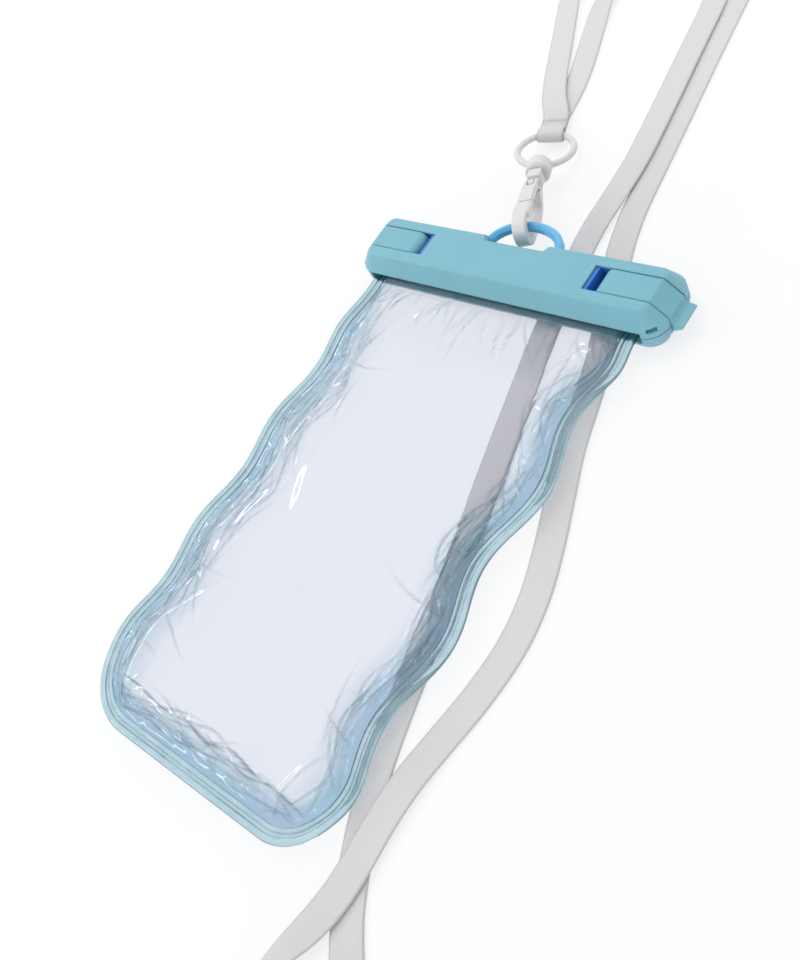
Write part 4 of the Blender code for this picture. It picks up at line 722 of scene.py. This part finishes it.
def finish_material(name, colour, roughness, **sockets):
    """A Principled material with plain values on its own sockets."""
    mat = bpy.data.materials.new(name)
    mat.use_nodes = True
    shader = mat.node_tree.nodes["Principled BSDF"]
    shader.inputs["Base Color"].default_value = linear(colour)
    shader.inputs["Roughness"].default_value = roughness
    for label, value in sockets.items():
        shader.inputs[label.replace("_", " ")].default_value = value
    return mat, mat.node_tree, shader


def mix_colour(tree, share, first, second):
    """Mixes two colours, or a node's colour with another, by a share from 0 to 1."""
    node = tree.nodes.new("ShaderNodeMix")
    node.data_type = "RGBA"
    for label, value in (("Factor", share), ("A", first), ("B", second)):
        feed(tree, node.inputs[label], value)
    return node.outputs["Result"]


def place_on(tree, kind="Object"):
    """Where a point is: on the whole object, or on the piece's own UV map."""
    return tree.nodes.new("ShaderNodeTexCoord").outputs[kind]


def bump(tree, height, strength, distance, over=None):
    """A Bump node, laid over another normal where one is given."""
    node = tree.nodes.new("ShaderNodeBump")
    node.inputs["Strength"].default_value = strength
    node.inputs["Distance"].default_value = distance
    tree.links.new(height, node.inputs["Height"])
    if over is not None:
        tree.links.new(over, node.inputs["Normal"])
    return node.outputs["Normal"]


def soft_edges(tree, radius):
    """A Bevel node shades the edges as if they were rounded, as moulded edges are."""
    node = tree.nodes.new("ShaderNodeBevel")
    node.samples = 6
    node.inputs["Radius"].default_value = radius
    return node.outputs["Normal"]


def moulded(name, colour, deep, roughness, grain=4000.0, edge=0.0006, **sockets):
    """Moulded plastic: tone moves the colour between two near shades, and the grain roughens and bumps it."""
    mat, tree, shader = finish_material(name, colour, roughness, **sockets)
    skin = tree.nodes.new("ShaderNodeGroup")
    skin.node_tree = SKIN
    skin.inputs["Grain scale"].default_value = grain
    tree.links.new(place_on(tree), skin.inputs["Place"])
    shade = mix_colour(tree, skin.outputs["Tone"], linear(deep), linear(colour))
    tree.links.new(shade, shader.inputs["Base Color"])
    base = roughness - GRAIN_ROUGHNESS / 2
    rough = maths(tree, "MULTIPLY_ADD", skin.outputs["Grain"], GRAIN_ROUGHNESS, base)
    tree.links.new(rough, shader.inputs["Roughness"])
    grained = bump(tree, skin.outputs["Grain"], 0.25, 0.00004, soft_edges(tree, edge))
    tree.links.new(grained, shader.inputs["Normal"])
    return mat


def woven(name, colour, edge_colour):
    """Ribbon cloth: the weave's height bumps it, painted shade darkens its hollows, and its woven edges are
    greyer.
    """
    mat, tree, shader = finish_material(name, colour, 0.82, Sheen_Weight=0.25, Sheen_Roughness=0.5)
    weave = tree.nodes.new("ShaderNodeGroup")
    weave.node_tree = WEAVE
    tree.links.new(place_on(tree, "UV"), weave.inputs["Place"])
    tone = maths(tree, "MULTIPLY_ADD", noise(tree, place_on(tree), 14.0, 1.0), 2.4, -0.7)
    greyer = [c * k for c, k in zip(colour, WORN_TONE)]
    worn = mix_colour(tree, tone, linear(greyer), linear(colour))
    # painted shade: the weave's hollows get a darker copy of the cloth's colour
    shade = mix_colour(tree, weave.outputs["Height"], linear([c * 0.92 for c in colour]), worn)
    edge = maths(tree, "MULTIPLY", weave.outputs["Edge"], 0.7)
    tree.links.new(mix_colour(tree, edge, shade, linear(edge_colour)), shader.inputs["Base Color"])
    tree.links.new(bump(tree, weave.outputs["Height"], 0.5, 0.00008), shader.inputs["Normal"])
    return mat


def core_plastic():
    """Sky blue on the arch, and inside the clamp a deeper blue as painted shade, by the distance from the
    arch along Y.
    """
    mat, tree, shader = finish_material("inner_blue", (0.38, 0.73, 0.92), 0.30, Coat_Weight=0.15)
    split = tree.nodes.new("ShaderNodeSeparateXYZ")
    tree.links.new(place_on(tree), split.inputs[0])
    # painted shade: the blue deepens inside the clamp, below the arch line
    inside = maths(tree, "MULTIPLY_ADD", split.outputs["Y"], -RECESS_SHADE_RATE, RECESS_SHADE_RATE * ARCH_LINE_Y)
    inside = maths(tree, "MAXIMUM", maths(tree, "SMOOTH_MIN", inside, 1.0, 0.2), 0.0)
    skin = tree.nodes.new("ShaderNodeGroup")
    skin.node_tree = SKIN
    tree.links.new(place_on(tree), skin.inputs["Place"])
    sky = mix_colour(tree, skin.outputs["Tone"], linear((0.36, 0.70, 0.89)), linear((0.44, 0.77, 0.93)))
    tree.links.new(mix_colour(tree, inside, sky, linear((0.20, 0.47, 0.82))), shader.inputs["Base Color"])
    grained = bump(tree, skin.outputs["Grain"], 0.15, 0.00003, soft_edges(tree, 0.0004))
    tree.links.new(grained, shader.inputs["Normal"])
    return mat


glow_through = {"Subsurface_Weight": 0.08}
bar_plastic = moulded("clamp_turquoise", (0.51, 0.73, 0.78), (0.47, 0.70, 0.76), 0.40, **glow_through)
bar_plastic.node_tree.nodes["Principled BSDF"].inputs["Subsurface Scale"].default_value = 0.002
latch_plastic = moulded("latch_turquoise", (0.50, 0.725, 0.775), (0.46, 0.695, 0.755), 0.36, **glow_through)
hook_plastic = moulded("hook_white", (0.90, 0.88, 0.87), (0.86, 0.84, 0.83), 0.38, grain=3000.0)
pin_steel = moulded("pin_steel", (0.74, 0.74, 0.76), (0.68, 0.68, 0.70), 0.28, grain=6000.0, Metallic=1.0)
seal_plastic = moulded("seal_silicone", (0.86, 0.90, 0.93), (0.82, 0.87, 0.91), 0.5, grain=2500.0)
blue_core = core_plastic()
ribbon_cloth = woven("ribbon_weave", (0.90, 0.885, 0.88), (0.77, 0.755, 0.75))
thread, _, _ = finish_material("seam_thread", (0.86, 0.85, 0.83), 0.8, Sheen_Weight=0.3)
for obj in (ribbon, end_fold):
    obj.data.materials.append(ribbon_cloth)
seam.data.materials.append(thread)
print("finishes:", len(bpy.data.materials))

# %% [markdown]
# ## Clear film and rim
# Soft clear film shows mostly what is behind it. It is glass-like: full transmission, a low index, and a
# smooth skin. It looks bluer where it is slack and doubled. Painted shade darkens it where it is seen edge
# on, and in thin lines along sharp folds. The masks for the slack and for those lines were stored on the
# film's points. Clear plastic casts hardly any shadow, so for shadow rays only, it is nearly see-through.

# %% Clear finishes


def mask_of(tree, name):
    """A number that was stored on the piece's points."""
    node = tree.nodes.new("ShaderNodeAttribute")
    node.attribute_name = name
    return node.outputs["Fac"]


def light_shadow(tree, shader, strength):
    """Alpha is 1, less a share for shadow rays."""
    rays = tree.nodes.new("ShaderNodeLightPath")
    alpha = maths(tree, "MULTIPLY_ADD", rays.outputs["Is Shadow Ray"], -strength, 1.0)
    tree.links.new(alpha, shader.inputs["Alpha"])


def clear_film():
    """Pale where stretched, bluer and cloudy where slack, and painted shade where seen edge on and along
    folds.
    """
    glass = {"Transmission_Weight": 1.0, "IOR": 1.38}
    mat, tree, shader = finish_material("film_clear", (0.93, 0.95, 0.99), 0.0, **glass)
    slack = maths(tree, "POWER", mask_of(tree, "slack"), 0.7)
    cloud = maths(tree, "SMOOTH_MIN", noise(tree, place_on(tree), 70.0, 2.0), 1.0, 0.1)
    gathered = mix_colour(tree, cloud, linear((0.85, 0.88, 0.945)), linear((0.76, 0.875, 0.905)))
    tint = mix_colour(tree, slack, linear((0.965, 0.97, 0.985)), gathered)
    # painted shade: where the film is seen edge on, its colour turns towards a deeper blue
    edge_on_shade = tree.nodes.new("ShaderNodeLayerWeight")
    edge_on_shade.inputs["Blend"].default_value = 0.35
    steep_shade = maths(tree, "POWER", edge_on_shade.outputs["Facing"], 2.5)
    tint = mix_colour(tree, maths(tree, "MULTIPLY", steep_shade, 0.8), tint, linear((0.50, 0.68, 0.76)))
    # painted shade: the fold lines darken the film, broken up in patches by noise
    patches = maths(tree, "MULTIPLY", noise(tree, place_on(tree), 140.0, 2.0), 1.7)
    patches = maths(tree, "SMOOTH_MIN", patches, 1.0, 0.1)
    crease_shade = maths(tree, "MULTIPLY", mask_of(tree, "crease_shade"), patches)
    tree.links.new(mix_colour(tree, crease_shade, tint, linear((0.40, 0.53, 0.60))), shader.inputs["Base Color"])
    light_shadow(tree, shader, 0.95)
    return mat


def clear_rim():
    """Cloudy between two pale blues, with painted shade where seen edge on and in patches along the bead
    edges.
    """
    glass = {"Transmission_Weight": 1.0, "IOR": 1.42}
    mat, tree, shader = finish_material("rim_clear", (0.74, 0.90, 0.95), 0.04, **glass)
    # painted shade: a deeper blue where the rim is seen edge on
    edge_on_shade = tree.nodes.new("ShaderNodeLayerWeight")
    edge_on_shade.inputs["Blend"].default_value = 0.5
    edge = maths(tree, "POWER", edge_on_shade.outputs["Facing"], 1.8)
    cloud = noise(tree, place_on(tree), 160.0, 2.0)
    pale = mix_colour(tree, cloud, linear((0.62, 0.77, 0.83)), linear((0.84, 0.92, 0.945)))
    pale = mix_colour(tree, maths(tree, "MULTIPLY", edge, 0.8), pale, linear((0.40, 0.62, 0.70)))
    # painted shade: the dark lines along the bead edges, in patches
    patches = maths(tree, "MULTIPLY_ADD", noise(tree, place_on(tree), 90.0, 2.0), 1.6, -0.2)
    line = maths(tree, "MULTIPLY", mask_of(tree, "bead_edge_shade"), patches)
    tree.links.new(mix_colour(tree, line, pale, linear((0.20, 0.34, 0.40))), shader.inputs["Base Color"])
    light_shadow(tree, shader, 0.88)
    return mat


front_wall.data.materials.append(clear_film())
rear_wall.data.materials.append(front_wall.data.materials[0])
rim_weld.data.materials.append(clear_rim())
print("clear finishes:", [m.name for m in (front_wall.data.materials[0], rim_weld.data.materials[0])])

# %% [markdown]
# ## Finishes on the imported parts
# The hard parts are moulded, apart from the steel pins, and each has a single finish. They keep their
# shapes, and only what fills their material slots changes. A table of finishes and parts is easier to read,
# and to change, than a line of code for each part.

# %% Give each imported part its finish
FINISH_OF = {
    bar_plastic: ("front_bar", "rear_bar"),
    latch_plastic: ("left_latch", "right_latch"),
    blue_core: ("inner_frame",),
    hook_plastic: ("snap_hook", "hook_gate", "swivel_ring"),
    pin_steel: ("left_latch_pin", "right_latch_pin", "gate_pin"),
    seal_plastic: ("front_gasket", "rear_gasket"),
}
for mat, names in FINISH_OF.items():
    for name in names:
        for slot in parts[name].material_slots:
            slot.material = mat
print("parts finished:", sum(len(names) for names in FINISH_OF.values()))

# %% [markdown]
# ## Floor and light
# A pale table and soft studio light let the colours show as they are. The floor blends towards plain white
# for the camera, so that only the soft shadow marks where the case lies. Two narrow bright panels beside
# the main one draw the small highlights that make clear film look wet and smooth.

# %% Floor, panels and sky
TABLE_HALF, TABLE_TOP = 4, -0.0002
FLOOR_GLOW = 1.04  # a trace over white, to make up for the table that is mixed with it
SKY_LIGHT, SKY_SEEN = 0.66, 1.0
# how much of the floor is glow: its value at the middle, its gain for each metre, and its least value
GLOW_MIDDLE, GLOW_GAIN, GLOW_LEAST = 0.58, 0.35, 0.70


def panel(name, place, aim, size, energy):
    """A flat lamp at a place, turned to face the aim."""
    data = bpy.data.lights.new(name, "AREA")
    data.shape = "RECTANGLE"
    data.size, data.size_y = size
    data.energy = energy
    obj = bpy.data.objects.new(name, data)
    bpy.context.scene.collection.objects.link(obj)
    turn = (Vector(aim) - Vector(place)).to_track_quat("-Z", "Y").to_matrix().to_4x4()
    obj.matrix_world = Matrix.Translation(place) @ turn
    return obj


def white_for_seeing(tree):
    """1 for camera, mirror and see-through rays, and 0 for the rays that light the scene."""
    rays = tree.nodes.new("ShaderNodeLightPath")
    seen = maths(tree, "MAXIMUM", rays.outputs["Is Camera Ray"], rays.outputs["Is Transmission Ray"])
    return maths(tree, "MAXIMUM", seen, rays.outputs["Is Glossy Ray"])


def floor_material():
    """White for seeing, mixed with a table that takes shadows. Far from the case the table is plain white."""
    mat, tree, shader = finish_material("pale_table", (0.93, 0.93, 0.94), 0.9)
    seen = white_for_seeing(tree)
    glow = tree.nodes.new("ShaderNodeEmission")
    glow.inputs["Strength"].default_value = FLOOR_GLOW
    blend = tree.nodes.new("ShaderNodeMixShader")
    reach = tree.nodes.new("ShaderNodeVectorMath")
    reach.operation = "LENGTH"
    tree.links.new(place_on(tree), reach.inputs[0])
    share = maths(tree, "MULTIPLY_ADD", reach.outputs["Value"], GLOW_GAIN, GLOW_MIDDLE)
    share = maths(tree, "MINIMUM", maths(tree, "MAXIMUM", share, GLOW_LEAST), 1.0)
    tree.links.new(maths(tree, "MULTIPLY", seen, share), blend.inputs["Fac"])
    tree.links.new(shader.outputs[0], blend.inputs[1])
    tree.links.new(glow.outputs[0], blend.inputs[2])
    tree.links.new(blend.outputs[0], tree.nodes["Material Output"].inputs["Surface"])
    return mat


def sky():
    """Plain white for seeing, and a dimmer, slightly cool light for the scene."""
    world = bpy.data.worlds.new("studio")
    world.use_nodes = True
    tree = world.node_tree
    light = tree.nodes["Background"]
    light.inputs["Color"].default_value = (0.93, 0.96, 1.0, 1)
    light.inputs["Strength"].default_value = SKY_LIGHT
    plain = tree.nodes.new("ShaderNodeBackground")
    plain.inputs["Strength"].default_value = SKY_SEEN
    plain.inputs["Color"].default_value = (1, 1, 1, 1)
    blend = tree.nodes.new("ShaderNodeMixShader")
    tree.links.new(white_for_seeing(tree), blend.inputs["Fac"])
    tree.links.new(light.outputs[0], blend.inputs[1])
    tree.links.new(plain.outputs[0], blend.inputs[2])
    tree.links.new(blend.outputs[0], tree.nodes["World Output"].inputs["Surface"])
    bpy.context.scene.world = world


corners = [(x * TABLE_HALF, y * TABLE_HALF, TABLE_TOP) for x, y in ((-1, -1), (1, -1), (1, 1), (-1, 1))]
floor = mesh_object("table_top", corners, [[0, 1, 2, 3]])
floor.data.materials.append(floor_material())
sky()
key = panel("key_panel", place=(-0.45, 0.25, 0.95), aim=(0, 0.03, 0), size=(0.8, 0.8), energy=3.2)
key.visible_glossy = key.visible_transmission = False
panel("left_strip", place=(-0.55, -0.15, 0.35), aim=(0, 0, 0), size=(0.9, 0.05), energy=0.9)
panel("top_strip", place=(0.10, 0.65, 0.40), aim=(0, 0.02, 0), size=(0.7, 0.05), energy=0.9)
low_fill = panel("low_fill", place=(0.20, -0.75, 0.22), aim=(0, 0.08, 0.01), size=(0.8, 0.3), energy=2.1)
low_fill.visible_glossy = low_fill.visible_transmission = False
bpy.context.scene.view_settings.view_transform = "Standard"
